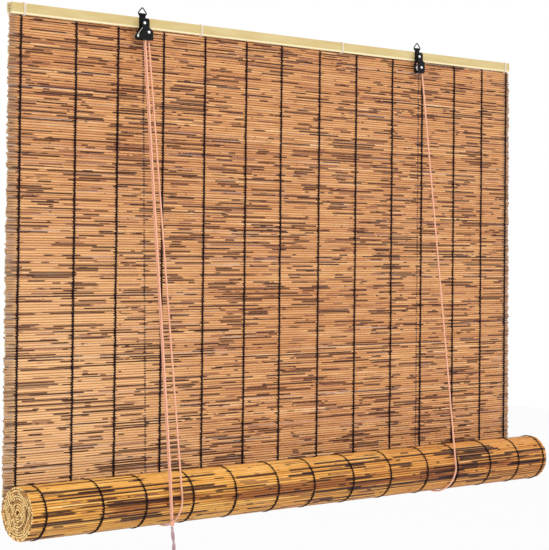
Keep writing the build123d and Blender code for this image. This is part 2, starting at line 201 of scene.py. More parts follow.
def opaque(color: Wire | Color) -> Wire | tuple[float, ...]:
    """A colour as a socket takes it."""
    return color if isinstance(color, Wire) else (*color, 1.0)


class Finish(Tree):
    """A material's tree, with the colour nodes that finishes share."""

    def __init__(self, name: str) -> None:
        """Start a material.

        Args:
            name: the material's name.
        """
        self.material = bpy.data.materials.new(name)
        self.material.use_nodes = True
        super().__init__(self.material.node_tree)

    def place(self) -> list[Wire]:
        """The point on the piece, in metres, as three numbers."""
        return self.parts(self.add("ShaderNodeTexCoord", output="Object"))

    def mark(self, name: str, output: str = "Fac") -> Wire:
        """A value stored on the mesh."""
        return self.add("ShaderNodeAttribute", {"attribute_name": name}, output=output)

    def speckle(self, cells: Point, detail: float) -> Wire:
        """Noise over the piece, with so many cells to a metre along each axis."""
        spot = [value * count for value, count in zip(self.place(), cells)]
        return self.noise(self.vector(*spot), 1.0, detail)

    def mix(self, share: Number, low: Wire | Color, high: Wire | Color, blend: str = "MIX") -> Wire:
        """Two colours mixed.

        Args:
            share: 0 for low, 1 for high.
            low: the first colour.
            high: the second colour.
            blend: the way of mixing.

        Returns:
            The mixed colour.
        """
        settings = {"data_type": "RGBA", "blend_type": blend}
        return self.add("ShaderNodeMix", settings, {0: share, 6: opaque(low), 7: opaque(high)}, output=2)

    def ramp(self, share: Wire, stops: Sequence[tuple[float, Color]]) -> Wire:
        """A colour ramp.

        Args:
            share: where on the ramp to look, from 0 to 1.
            stops: each stop's position and colour.

        Returns:
            The colour there.
        """
        made = self.node("ShaderNodeValToRGB", None, {0: share})
        band = made.color_ramp
        while len(band.elements) < len(stops):
            band.elements.new(0.5)
        for element, (position, color) in zip(band.elements, stops):
            element.position = position
            element.color = opaque(color)
        return Wire(self, made.outputs[0])

    def bump(self, height: Wire, depth: float) -> Wire:
        """A bump of depth metres where height goes from 0 to 1."""
        return self.add("ShaderNodeBump", None, {"Strength": 1.0, "Distance": depth, "Height": height})

    def surface(self, color: Wire | Color, roughness: Number, bump: Wire | None = None,
                **fixed: Number) -> bpy.types.Material:
        """Close the tree with a shader.

        Args:
            color: the base colour.
            roughness: the roughness.
            bump: a bump for the normal.
            fixed: other sockets by name, with an underscore for each space.

        Returns:
            The finished material.
        """
        values = {"Base Color": opaque(color), "Roughness": roughness}
        if bump:
            values["Normal"] = bump
        values.update({name.replace("_", " "): value for name, value in fixed.items()})
        shader = self.add("ShaderNodeBsdfPrincipled", None, values)
        self.node("ShaderNodeOutputMaterial", None, {0: shader})
        return self.material


# ---- finishes -----------------------------------------------------------------------------
@dataclass(frozen=True)
class Shades:
    """A reed's colours from darkest to palest, its dark flecks and its pale flecks of painted glint, and how
    its streaks and the painted shade under it show.

    A streak's breadth is half its width on the reed's height of -1 to 1. Its stretch is how many times
    longer than usual it is. The last field is how dark the painted shade in the hollow under each reed is.
    """

    palette: tuple[Color, ...]
    glint: Color
    shade: Color
    breadth: float
    stretch: float
    seam: float


class Tone(Enum):
    """Where a reed is, which sets how golden it looks."""

    HANGING = Shades(
        palette=((0.32, 0.110, 0.045), (0.53, 0.225, 0.085), (0.65, 0.305, 0.115),
                 (0.76, 0.410, 0.170), (0.93, 0.62, 0.37)),
        glint=(0.97, 0.68, 0.50), shade=(0.40, 0.125, 0.040), breadth=0.60, stretch=1.0, seam=0.62)
    ROLLED = Shades(
        palette=((0.30, 0.105, 0.022), (0.62, 0.270, 0.044), (0.78, 0.380, 0.070),
                 (0.88, 0.500, 0.125), (0.97, 0.70, 0.32)),
        glint=(0.98, 0.76, 0.36), shade=(0.40, 0.115, 0.018), breadth=0.85, stretch=1.7, seam=0.85)


@dataclass(frozen=True)
class ReedSpot:
    """A point of a reed: its place along and up the blind, round the reed, and which reed it is on."""

    x: Wire
    z: Wire
    across: Wire
    up: Wire
    seed: Wire
    lane: Wire


@dataclass(frozen=True)
class ReedFinish:
    """Split reed: tan to orange, with crisp brown and purplish streaks of any length."""

    tone: Tone
    short: float = 0.030
    long: float = 0.085
    grain: float = 0.00006
    lanes: float = 97.0
    plum: Color = (0.17, 0.050, 0.045)
    brown: Color = (0.056, 0.011, 0.004)
    umber: Color = (0.036, 0.008, 0.008)
    groove_shade: Color = (0.15, 0.045, 0.014)
    painted_light_tint: Color = (0.97, 0.62, 0.31)
    pith: tuple[Color, Color] = ((0.62, 0.33, 0.095), (0.97, 0.69, 0.29))
    old_end: Color = (0.42, 0.20, 0.06)
    grey_end: Color = (0.26, 0.16, 0.10)
    grey_from: tuple[float, float] = (0.485, 0.497)
    stain: Color = (0.33, 0.15, 0.17)
    stain_z: float = -0.684
    dull: Color = (0.86, 0.74, 0.78)
    cord_gap_shade: Color = (0.045, 0.013, 0.010)
    cord_gap_half: float = 0.0021
    cord_foot: float = -0.677
    cords: tuple[tuple[float, float], ...] = ((-0.2716, -0.0131), (0.2790, 0.0030))

    def make(self) -> bpy.types.Material:
        """Build the material.

        Returns:
            The material.
        """
        f = Finish(f"reed_{self.tone.name.lower()}")
        x, _, z = f.place()
        seed = f.mark("seed")
        _, across, up = f.parts(f.mark("round", "Vector"))
        spot = ReedSpot(x, z, across, up, seed, seed * self.lanes)
        color = self.streaked(f, spot, self.skin(f, spot))
        # Painted shade: each reed is darkened on its underside, towards the hollow between rows, where shade
        # falls.
        color = f.mix((up * -1).step(0.40, 1.0) * self.tone.value.seam, color, self.groove_shade)
        color = f.mix(f.mark("cap"), color, self.cut_end(f, spot))
        if self.tone is Tone.ROLLED:
            color = self.stained(f, spot, color)
        else:
            color = self.wear_and_shade(f, spot, color)
        fibre = f.noise(f.vector(x * 14.0, across * 26.0 + spot.lane, up * 26.0), 1.0, 3.0)
        return f.surface(color, 0.34 + fibre * 0.22, f.bump(fibre, self.grain), Specular_IOR_Level=0.28)

    def skin(self, f: Finish, spot: ReedSpot) -> Wire:
        """The plain skin, golden to brown in patches, with dark flecks and painted glints, and painted light
        low at the left.

        Args:
            f: the material's tree.
            spot: the point of the reed.

        Returns:
            Its colour.
        """
        shades = self.tone.value
        tone = f.noise(f.vector(spot.x * 7.0, spot.lane, 3.0), 1.0, 2.0)
        patch = f.noise(f.vector(spot.x * 23.0, spot.lane * 1.7, 9.0), 1.0, 2.0)
        share = (spot.seed * 0.30 + tone * 0.95 + patch * 0.55 - 0.40).math("ADD", 0.0, clamp=True)
        last = len(shades.palette) - 1
        color = f.ramp(share, [(k / last, stop) for k, stop in enumerate(shades.palette)])
        fleck = f.noise(f.vector(spot.x * 45.0, spot.across * 4.0 + spot.lane, spot.up * 4.0), 1.0, 3.0)
        # Painted highlight: pale flecks in the glint colour stand in for glossy glints on the reed.
        color = f.mix(fleck.step(0.60, 0.72) * 0.55, color, shades.glint)
        color = f.mix(fleck.step(0.42, 0.30) * 0.55, color, shades.shade)
        if self.tone is Tone.ROLLED:
            return color
        # Painted light: low down at the left the reeds are mixed towards a paler tint, where the light falls
        # brighter.
        painted_light = spot.x.step(-0.05, -0.42) * spot.z.step(-0.15, -0.55)
        return f.mix(painted_light * 0.50, color, self.painted_light_tint)

    def streaked(self, f: Finish, spot: ReedSpot, skin: Wire) -> Wire:
        """The skin with its purplish and brown streaks and its short dark nicks.

        Args:
            f: the material's tree.
            spot: the point of the reed.
            skin: the plain skin's colour.

        Returns:
            The colour with all three.
        """
        shades = self.tone.value
        plum = self.streak(f, spot, 3.1, self.long, 0.60)
        color = f.mix(plum * 0.75, skin, self.plum)
        brown = self.streak(f, spot, 2.3, self.long * shades.stretch, 0.545, shades.breadth)
        dark = f.mix(spot.seed.step(0.35, 0.75), self.brown, self.umber)
        color = f.mix(brown * 0.96, color, dark)
        nick = self.streak(f, spot, 5.7, self.short, 0.66)
        return f.mix(nick * 0.90, color, dark)

    def streak(self, f: Finish, spot: ReedSpot, kind: float, length: float, cover: float,
               half: float = 0.58) -> Wire:
        """Streaks that run along one side of a reed.

        Args:
            f: the material's tree.
            spot: the point of the reed.
            kind: a number that keeps one kind of streak apart from another.
            length: their usual length in metres.
            cover: the noise above which there is a streak.
            half: half its width, on the reed's height of -1 to 1.

        Returns:
            1 on a streak and 0 off it.
        """
        lane = spot.lane * kind
        spread = f.noise(f.vector(spot.x / length, lane, 0.0), 1.0, 1.0)
        middle = f.noise(f.vector(spot.x * 0.4, lane, 70.0), 1.0, 0.0) * 3.0 - 1.5
        band = (spot.up - middle).math("ABSOLUTE").step(half, half - 0.18)
        return spread.step(cover, cover + 0.018) * band

    def cut_end(self, f: Finish, spot: ReedSpot) -> Wire:
        """The cut end: pale pith, or brown on the reeds that were cut long ago.

        Args:
            f: the material's tree.
            spot: the point of the reed.

        Returns:
            Its colour.
        """
        pores = f.noise(f.vector(spot.x * 900.0, spot.across * 3.0 + spot.lane, spot.up * 3.0), 1.0, 2.0)
        end = f.mix(pores.step(0.30, 0.55), *self.pith)
        return f.mix(spot.seed.step(0.70, 0.78), end, self.old_end)

    def stained(self, f: Finish, spot: ReedSpot, color: Wire) -> Wire:
        """The roll has one stained strip along its front and is duller towards its right end.

        Args:
            f: the material's tree.
            spot: the point of the reed.
            color: the colour so far.

        Returns:
            The colour with both added.
        """
        strip = (spot.z - self.stain_z).math("ABSOLUTE").step(0.017, 0.007) * spot.x.step(-0.43, -0.36)
        patchy = f.noise(f.vector(spot.x * 6.0, spot.lane * 0.5, 31.0), 1.0, 1.0).step(0.40, 0.52)
        color = f.mix(strip * patchy * 0.80, color, self.stain, "MULTIPLY")
        return f.mix(spot.x.step(-0.35, 0.50), color, self.dull, "MULTIPLY")

    def wear_and_shade(self, f: Finish, spot: ReedSpot, color: Wire) -> Wire:
        """Hanging reeds get painted shade in their seams along each rear cord's line, where the cord behind
        shows dark through the gaps, and are greyer at their ends.

        Args:
            f: the material's tree.
            spot: the point of the reed.
            color: the colour so far.

        Returns:
            The colour with both added.
        """
        some = f.noise(f.vector(spot.lane, 5.0, 5.0), 9.0, 0.0).step(0.40, 0.46)
        seam = spot.up.math("ABSOLUTE").step(0.15, 0.45) * some
        # Painted shade: along each rear cord's line the seams are darkened where the cord behind shows dark
        # through the gaps.
        for foot_x, lean in self.cords:
            line = foot_x + (spot.z - self.cord_foot) * lean
            mark = (spot.x - line).math("ABSOLUTE").step(self.cord_gap_half, self.cord_gap_half - 0.0009)
            color = f.mix(mark * seam * 0.92, color, self.cord_gap_shade)
        return f.mix(spot.x.math("ABSOLUTE").step(*self.grey_from) * 0.5, color, self.grey_end)


@dataclass(frozen=True)
class BambooFinish:
    """Pale yellow split bamboo with a painted highlight along its lower edge, long fibres and a thin varnish.
    """

    fibre_depth: float = 0.00008
    skin: tuple[Color, Color, Color] = ((0.515, 0.377, 0.142), (0.575, 0.446, 0.19), (0.626, 0.506, 0.245))
    fibre: Color = (0.55, 0.40, 0.17)
    lower_edge_highlight: Color = (0.90, 0.80, 0.52)
    upper_edge: Color = (0.60, 0.47, 0.24)

    def make(self) -> bpy.types.Material:
        """Build the material.

        Returns:
            The material.
        """
        f = Finish("bamboo_slat")
        z = f.place()[2]
        fibre = f.speckle((9.0, 900.0, 900.0), 4.0)
        cloud = f.speckle((14.0, 60.0, 90.0), 3.0)
        color = f.ramp(cloud, list(zip((0.25, 0.5, 0.75), self.skin)))
        color = f.mix(fibre.step(0.60, 0.80) * 0.30, color, self.fibre)
        # Painted highlight: the bevel along the lower edge is mixed towards cream where it catches the light.
        color = f.mix(z.step(-0.0243, -0.0260) * 0.8, color, self.lower_edge_highlight)
        color = f.mix(z.step(-0.0142, -0.0128) * 0.45, color, self.upper_edge)
        bump = f.bump(fibre, self.fibre_depth)
        return f.surface(color, 0.34 + cloud * 0.16, bump, Specular_IOR_Level=0.35)


@dataclass(frozen=True)
class ThreadFinish:
    """Twisted thread, with its plies as diagonal ridges, painted paler on their crests and darker in the
    shaded hollows between them.
    """

    name: str
    light: Color
    dark: Color
    ply_pitch: float
    ply_depth: float = 0.00012

    def make(self) -> bpy.types.Material:
        """Build the material.

        Returns:
            The material.
        """
        f = Finish(self.name)
        u, v, _ = f.parts(f.mark("lay", "Vector"))
        ridge = (u * (TURN / self.ply_pitch) + v * (2 * TURN)).math("SINE") * 0.5 + 0.5
        fuzz = f.noise(f.vector(u * 900.0, v * 9.0, 0.0), 1.0, 3.0)
        # Painted highlight and shade: the light colour goes on the plies' crests, the dark one in the hollows
        # between them.
        color = f.mix(ridge * 0.75 + fuzz * 0.25, self.dark, self.light)
        bump = f.bump(ridge * 0.8 + fuzz * 0.4, self.ply_depth)
        return f.surface(color, 0.85, bump, Specular_IOR_Level=0.12)


@dataclass(frozen=True)
class EnamelFinish:
    """Black stoved enamel on steel, scuffed through to grey where edges and pins have scraped it."""

    name: str
    wear_and_shade: float = 0.35
    black: Color = (0.003, 0.003, 0.004)
    steel: Color = (0.10, 0.10, 0.095)
    peel_depth: float = 0.00003

    def make(self) -> bpy.types.Material:
        """Build the material.

        Returns:
            The material.
        """
        f = Finish(self.name)
        speck = f.speckle((260.0, 260.0, 260.0), 5.0)
        rub = f.speckle((90.0, 90.0, 60.0), 3.0)
        peel = f.speckle((700.0, 700.0, 700.0), 2.0)
        wear_and_shade = (rub.step(0.56, 0.72) * speck.step(0.42, 0.62)) * self.wear_and_shade
        color = f.mix(wear_and_shade, self.black, self.steel)
        rough = 0.45 + speck * 0.22
        return f.surface(color, rough, f.bump(peel, self.peel_depth), Metallic=wear_and_shade, Specular_IOR_Level=0.14)


@dataclass(frozen=True)
class PlatedFinish:
    """Plated or bare metal, with fine turning marks."""

    name: str
    color: Color
    roughness: float
    mark_depth: float = 0.00002

    def make(self) -> bpy.types.Material:
        """Build the material.

        Returns:
            The material.
        """
        f = Finish(self.name)
        haze = f.speckle((400.0, 1500.0, 400.0), 3.0)
        tint = f.mix(haze * 0.35, self.color, tuple(0.72 * c for c in self.color))
        return f.surface(tint, self.roughness + haze * 0.12, f.bump(haze, self.mark_depth), Metallic=1.0)


@dataclass(frozen=True)
class NylonFinish:
    """White moulded nylon, a little grey where the cord has run."""

    name: str = "wheel_nylon"
    white: Color = (0.86, 0.89, 0.87)
    grey: Color = (0.52, 0.53, 0.50)
    grime_depth: float = 0.00002

    def make(self) -> bpy.types.Material:
        """Build the material.

        Returns:
            The material.
        """
        f = Finish(self.name)
        grime = f.speckle((300.0, 700.0, 300.0), 3.0)
        color = f.mix(grime.step(0.50, 0.75) * 0.4, self.white, self.grey)
        return f.surface(color, 0.38 + grime * 0.15, f.bump(grime, self.grime_depth), Subsurface_Weight=0.15)


@dataclass(frozen=True)
class CordFinish:
    """Braided cord: a fine lattice of plies, with painted highlight where they stand proud and painted shade
    between them.
    """

    name: str
    light: Color
    dark: Color
    braid_pitch: float = 0.0042
    braid_depth: float = 0.00016
    plies: int = 4

    def make(self) -> bpy.types.Material:
        """Build the material.

        Returns:
            The material.
        """
        f = Finish(self.name)
        u, v, _ = f.parts(f.mark("lay", "Vector"))
        along = u * (TURN / self.braid_pitch)
        around = v * (self.plies * TURN)
        braid = (along + around).math("SINE").math("MAXIMUM", (along - around).math("SINE")) * 0.5 + 0.5
        soil = f.noise(f.vector(u * 22.0, v * 2.0, 1.0), 1.0, 3.0)
        # Painted highlight and shade: the plies that stand proud take the light colour, the hollows between
        # them the dark one.
        color = f.mix(braid * 0.8, self.dark, self.light)
        color = f.mix(soil.step(0.50, 0.75) * 0.35, color, self.dark)
        bump = f.bump(braid, self.braid_depth)
        return f.surface(color, 0.74, bump, Sheen_Weight=0.25, Sheen_Roughness=0.45)


# ---- meshes -------------------------------------------------------------------------------
def link(name: str, data: bpy.types.ID) -> bpy.types.Object:
    """Put new data in the scene, at the origin.

    Args:
        name: the object's name.
        data: its mesh, curve, camera or light.

    Returns:
        The object.
    """
    made = bpy.data.objects.new(name, data)
    bpy.context.scene.collection.objects.link(made)
    return made


def piece(name: str, mesh: bpy.types.Mesh, material: bpy.types.Material | None = None) -> bpy.types.Object:
    """Put a mesh in the scene with its finish.

    Args:
        name: the piece's name.
        mesh: its mesh.
        material: its finish, or None where the mesh has one.

    Returns:
        The object.
    """
    if material:
        mesh.materials.clear()
        mesh.materials.append(material)
    return link(name, mesh)


def stands_for(made: bpy.types.Object, body: str, slot: str, *nodes: str) -> bpy.types.Object:
    """Say what a piece rides on, which nodes it replaces and which slot its finish has.

    Args:
        made: the piece.
        body: the body it rides on, or an empty word for none.
        slot: its slot.
        nodes: the nodes it replaces.

    Returns:
        The piece.
    """
    if body:
        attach(made, body)
    if nodes:
        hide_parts(*nodes)
    LOG.info("%s: %s", made.name, slot)
    return made


def finished_mesh(holder: bpy.types.Object) -> bpy.types.Mesh:
    """Turn an object into a plain mesh, and remove the object.

    Args:
        holder: a curve, or a mesh with modifiers.

    Returns:
        Its finished mesh.
    """
    mesh = bpy.data.meshes.new_from_object(holder.evaluated_get(bpy.context.evaluated_depsgraph_get()))
    bpy.data.objects.remove(holder)
    return mesh


def mesh_from(name: str, points: np.ndarray, faces: Sequence[Face]) -> bpy.types.Mesh:
    """A smooth-shaded mesh.

    Args:
        name: its name.
        points: its points.
        faces: its faces.

    Returns:
        The mesh.
    """
    mesh = bpy.data.meshes.new(name)
    mesh.from_pydata([tuple(p) for p in points], [], faces)
    mesh.shade_smooth()
    return mesh


def store(mesh: bpy.types.Mesh, name: str, values: np.ndarray) -> None:
    """Store a value for each point of a mesh.

    Args:
        mesh: the mesh.
        name: the value's name.
        values: a number or a vector for each point.
    """
    vectors = values.ndim == 2
    mark = mesh.attributes.new(name, "FLOAT_VECTOR" if vectors else "FLOAT", "POINT")
    mark.data.foreach_set("vector" if vectors else "value", values.astype(np.float32).ravel())


def distances(line: np.ndarray) -> np.ndarray:
    """How far along a line each of its points is."""
    return np.concatenate(([0.0], np.cumsum(np.linalg.norm(np.diff(line, axis=0), axis=1))))


def tube_faces(rings: int, sides: int, closed: bool = False) -> list[Face]:
    """The faces of a tube whose points lie in rings.

    Args:
        rings: how many rings there are.
        sides: points in each ring.
        closed: whether the last ring joins the first.

    Returns:
        Its faces, with a cap at each end where it is open.
    """
    faces = []
    for k in range(rings if closed else rings - 1):
        here, after = k * sides, (k + 1) % rings * sides
        for s in range(sides):
            t = (s + 1) % sides
            faces.append((here + s, here + t, after + t, after + s))
    if not closed:
        faces.append(tuple(range(sides))[::-1])
        faces.append(tuple(range((rings - 1) * sides, rings * sides)))
    return faces


@dataclass
class Strand:
    """A round strand swept along a line of points, with how far along and round it each point is."""

    line: np.ndarray
    radius: float
    sides: int = 8
    closed: bool = False

    def frames(self) -> tuple[np.ndarray, np.ndarray]:
        """Find two directions across the strand at each point, carried along it without twist.

        Returns:
            The first directions and the second.
        """
        line = self.line
        ahead = np.roll(line, -1, 0) - np.roll(line, 1, 0) if self.closed else np.gradient(line, axis=0)
        ahead /= np.linalg.norm(ahead, axis=1)[:, None]
        across = np.empty_like(line)
        start = np.array((0.0, 1.0, 0.0)) if abs(ahead[0][1]) < 0.9 else np.array((1.0, 0.0, 0.0))
        for k, direction in enumerate(ahead):
            start = start - direction * np.dot(start, direction)
            start = start / np.linalg.norm(start)
            across[k] = start
        return across, np.cross(ahead, across)

    def arrays(self) -> tuple[np.ndarray, list[Face], np.ndarray]:
        """Work out the strand's mesh.

        Returns:
            Points, faces, and for each point its distance along and its share of a turn round.
        """
        across, up = self.frames()
        count, sides = len(self.line), self.sides
        angle = np.linspace(0, TURN, sides, endpoint=False)
        ring = across[:, None] * np.cos(angle)[None, :, None] + up[:, None] * np.sin(angle)[None, :, None]
        points = (self.line[:, None] + ring * self.radius).reshape(-1, 3)
        lay = np.zeros((count, sides, 3))
        lay[:, :, 0] = distances(self.line)[:, None]
        lay[:, :, 1] = np.abs(angle / math.pi - 1.0)[None, :]
        return points, tube_faces(count, sides, self.closed), lay.reshape(-1, 3)


def strands_piece(name: str, strands: Sequence[Strand], material: bpy.types.Material) -> bpy.types.Object:
    """Several strands as one piece.

    Args:
        name: the piece's name.
        strands: its strands.
        material: its finish.

    Returns:
        The object.
    """
    points, faces, lays, base = [], [], [], 0
    for strand in strands:
        own_points, own_faces, lay = strand.arrays()
        points.append(own_points)
        lays.append(lay)
        faces.extend(tuple(index + base for index in face) for face in own_faces)
        base += len(own_points)
    mesh = mesh_from(name, np.concatenate(points), faces)
    store(mesh, "lay", np.concatenate(lays))
    return piece(name, mesh, material)


def spline_points(route: Sequence[Point], resolution: int = 10) -> np.ndarray:
    """The points of a smooth spline with the route as its control points.

    Args:
        route: control points in metres.
        resolution: points for each span.

    Returns:
        The spline's own points.
    """
    curve = bpy.data.curves.new("route", "CURVE")
    curve.dimensions = "3D"
    spline = curve.splines.new("NURBS")
    spline.points.add(len(route) - 1)
    for control, spot in zip(spline.points, route):
        control.co = (*spot, 1.0)
    spline.order_u = 3
    spline.use_endpoint_u = True
    spline.resolution_u = resolution
    mesh = finished_mesh(link("route", curve))
    return np.array([vertex.co[:] for vertex in mesh.vertices])


def wind_up(made: bpy.types.Object, anchor_z: float, bottom_z: float) -> None:
    """Give a hanging piece its own mesh; the share that stays as the roll rises is worked out, not used.

    Args:
        made: the piece.
        anchor_z: its top, which stays.
        bottom_z: its bottom, which rises with the roll.
    """
    length = anchor_z - bottom_z
    (length - LIFT) / length
    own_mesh(made)


# ---- studio -------------------------------------------------------------------------------
@dataclass
class Studio:
    """Camera, soft lights, pale floor."""

    eye: Point = (-1.7589, -1.8961, -0.3478)
    heading: float = 42.27
    tilt: float = -0.5
    roll: float = 0.338
    lens: float = 112.804364
    sensor: float = 36.0
    floor_z: float = -2.05
    floor_half: float = 14.0

    def camera(self) -> None:
        """Place the camera."""
        data = bpy.data.cameras.new("camera")
        data.sensor_width = self.sensor
        data.lens = self.lens
        holder = link("camera", data)
        heading, tilt, lean = (math.radians(angle) for angle in (self.heading, self.tilt, self.roll))
        level = math.cos(tilt)
        ahead = Vector((math.sin(heading) * level, math.cos(heading) * level, math.sin(tilt)))
        right = Vector((math.cos(heading), -math.sin(heading), 0.0))
        up = right.cross(ahead)
        turned = right * math.cos(lean) + up * math.sin(lean)
        above = up * math.cos(lean) - right * math.sin(lean)
        rows = [[turned[k], above[k], -ahead[k], self.eye[k]] for k in range(3)]
        holder.matrix_world = Matrix([*rows, [0.0, 0.0, 0.0, 1.0]])
        bpy.context.scene.camera = holder

    def light(self, name: str, spot: Point, aim: Point, size: float, power: float, color: Color) -> None:
        """Add one soft square light.

        Args:
            name: its name.
            spot: where it is.
            aim: the point it faces.
            size: its side in metres.
            power: its power in watts.
            color: its colour.
        """
        data = bpy.data.lights.new(name, "AREA")
        data.size = size
        data.energy = power
        data.color = color
        holder = link(name, data)
        holder.location = spot
        holder.rotation_euler = (Vector(aim) - Vector(spot)).to_track_quat("-Z", "Y").to_euler()

    def floor(self) -> None:
        """Lay the pale floor."""
        corners = [(x, y, self.floor_z) for x, y in ((-1, -1), (1, -1), (1, 1), (-1, 1))]
        points = np.array(corners) * (self.floor_half, self.floor_half, 1.0)
        pale = Finish("floor").surface((0.97, 0.97, 0.97), 0.9)
        piece("floor", mesh_from("floor", points, [(0, 1, 2, 3)]), pale)

    def build(self) -> None:
        """Build the studio."""
        scene = bpy.context.scene
        scene.view_settings.view_transform = "Standard"
        world = bpy.data.worlds.new("studio")
        world.use_nodes = True
        background = world.node_tree.nodes["Background"]
        background.inputs["Color"].default_value = (1.0, 1.0, 1.0, 1.0)
        background.inputs["Strength"].default_value = 1.0
        scene.world = world
        self.camera()
        middle = (0.0, 0.0, -0.4)
        self.light("key", (-1.2, -2.2, 1.6), middle, 0.8, 26.0, (1.0, 0.97, 0.93))
        self.light("fill", (1.8, -2.0, 0.2), middle, 1.6, 8.0, (0.96, 0.98, 1.0))
        self.floor()
        LOG.info("studio: camera, 2 lights and the floor")


# ---- cords --------------------------------------------------------------------------------
def metres(route: Sequence[Point]) -> list[Point]:
    """A route in metres."""
    return [tuple(value * MM for value in spot) for spot in route]


@dataclass
class Cords:
    """Lift cords, pull cords, their knot, and the doubled tail with its put-away coil.

    Sizes and places are in millimetres. Where a lift cord goes under the roll, it follows a circle about
    the roll's axis.
    """

    cord: bpy.types.Material
    tail: bpy.types.Material
    thread: bpy.types.Material
    radius: float = 1.3
    sides: int = 10
    left_x: float = -277.3
    right_x: float = 277.4
    pull_x: float = -285.1
    lock_z: float = -33.3
    tied: tuple[float, float] = (14.2, -21.0)
    roll_y: float = -28.5
    roll_z: float = -677.6
    loop_r: float = 38.5
    coil: Point = (-277.4, -68.95, -811.2)
    coil_r: float = 28.6
    coil_gap: float = 5.3
    coil_start: float = 0.35
    turns: int = 7
    twist: float = 34.0
    tie_r: float = 9.6
    tie_width: float = 8.8
    tie_wraps: int = 4

    def tube(self, name: str, body: str, route: Sequence[Point],
             node: str) -> tuple[bpy.types.Object, np.ndarray]:
        """A cord along a route, which stands for one node.

        Args:
            name: the piece's name.
            body: the body that it rides on, or an empty word for none.
            route: its control points.
            node: the node it replaces.

        Returns:
            The piece and the line that it follows, in metres.
        """
        line = spline_points(metres(route))
        made = strands_piece(name, [Strand(line, self.radius * MM, self.sides)], self.cord)
        return stands_for(made, body, "pink_cord", node), line

    def declare(self) -> None:
        """Work out the cord's width, which is not kept.
        """
        2 * self.radius * MM

    def straight(self, start: Point, end: Point, parts: int = 6) -> list[Point]:
        """The route of a taut run."""
        return [tuple(a + (b - a) * k / parts for a, b in zip(start, end)) for k in range(parts + 1)]

    def touch(self, y: float, z: float) -> float:
        """Find where a straight run from a hanger meets the circle round the roll.

        Args:
            y: where it leaves the hanger, front to back.
            z: its height there.

        Returns:
            The angle on the circle.
        """
        away_y, away_z = self.roll_y - y, z - self.roll_z
        lean = math.atan2(-away_y, away_z)
        return math.pi - (math.asin(self.loop_r / math.hypot(away_y, away_z)) - lean)

    def on_loop(self, angle: float, reach: float = 1.0) -> tuple[float, float]:
        """A point of the circle round the roll, or out from it where reach is over 1."""
        radius = self.loop_r * reach
        return self.roll_y + radius * math.cos(angle), self.roll_z + radius * math.sin(angle)

    def loop(self, front_x: float, rear_x: float, start: float, corners: int = 8) -> list[Point]:
        """The route under the roll.

        Args:
            front_x: where it starts, at the roll's front.
            rear_x: where it ends, at the roll's back.
            start: the angle it starts at.
            corners: control points between its ends.

        Returns:
            Its control points.
        """
        step = (TURN - start) / corners
        route = [(front_x, *self.on_loop(start))]
        for k in range(corners):
            x = front_x + (rear_x - front_x) * (k + 0.5) / corners
            route.append((x, *self.on_loop(start + step * (k + 0.5), 1 / math.cos(step / 2))))
        route.append((rear_x, *self.on_loop(TURN)))
        return route

    def lift(self, side: str, top: Point, front_x: float, rear_x: float, tied_x: float) -> None:
        """Build one lift cord: front run, loop and rear run.

        Args:
            side: left or right.
            top: where it leaves its hanger.
            front_x: where its front run meets the roll.
            rear_x: where its rear run leaves the roll.
            tied_x: where it is tied at the batten's back.
        """
        angle = self.touch(top[1], top[2])
        touch = (front_x, *self.on_loop(angle))
        low, high = (rear_x, self.roll_y + self.loop_r, self.roll_z), (tied_x, *self.tied)
        down = self.straight(top, touch)
        front, line = self.tube(f"{side}_lift_cord", "head", down, f"lift_cord_front_{side}")
        wind_up(front, top[2] * MM, touch[2] * MM)
        self.declare()
        under = self.loop(front_x, rear_x, angle)
        loop, line = self.tube(f"{side}_roll_loop", "lift_loops", under, f"lift_loop_{side}")
        self.declare()
        back_up = self.straight(low, high)
        rear, line = self.tube(f"{side}_rear_cord", "head", back_up, f"lift_cord_rear_{side}")
        wind_up(rear, high[2] * MM, low[2] * MM)
        self.declare()

    def pull(self, name: str, node: str, top_y: float, ahead: float) -> None:
        """Build one pull cord, which pays out between the lock and the knot.

        Args:
            name: the piece's name.
            node: the node it replaces.
            top_y: where it leaves the lock, front to back.
            ahead: how far it hangs in front of the roll's circle.
        """
        low_y = self.roll_y - self.loop_r - ahead
        top, knee, end = (self.pull_x, top_y, self.lock_z), (-285.6, low_y, -672.0), (-284.5, low_y, -703.0)
        made, line = self.tube(name, "", [*self.straight(top, knee), end], node)
        start, finish = metres((top, end))
        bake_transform(made)
        self.declare()

    def through_hangers(self) -> None:
        """Build the cords' ways over the wheels, and the cross run behind the batten."""
        top, cut, low = -29.4, 1.7, self.lock_z
        back, front = -1.95, -4.6
        left, right, pull = self.left_x, self.right_x, self.pull_x
        over_lock = [
            (left, back, low), (left, back, top - cut), (left - cut, back, top),
            (pull + cut, back, top), (pull, back, top - cut), (pull, back, low),
        ]
        self.tube("cord_over_lock", "head", over_lock, "lock_cord")
        wheel, wheel_top, wheel_cut, cross = -3.95, -32.7, 2.3, -31.2
        cross_run = [
            (right, wheel, -38.2), (right, wheel, wheel_top - wheel_cut),
            (right - wheel_cut, wheel, wheel_top), (271.6, wheel, wheel_top + 0.2),
            (268.9, 0.8, cross), (267.2, 10.2, cross), (261.6, 15.0, cross),
            (-257.8, 15.0, cross + 0.2), (-263.2, 10.2, cross + 0.6), (-267.4, 0.6, cross + 1.4),
            (-272.2, front, top - 0.1), (pull + cut, front, top),
            (pull, front, top - cut), (pull, front, low),
        ]
        self.tube("cross_run", "head", cross_run, "cross_cord")

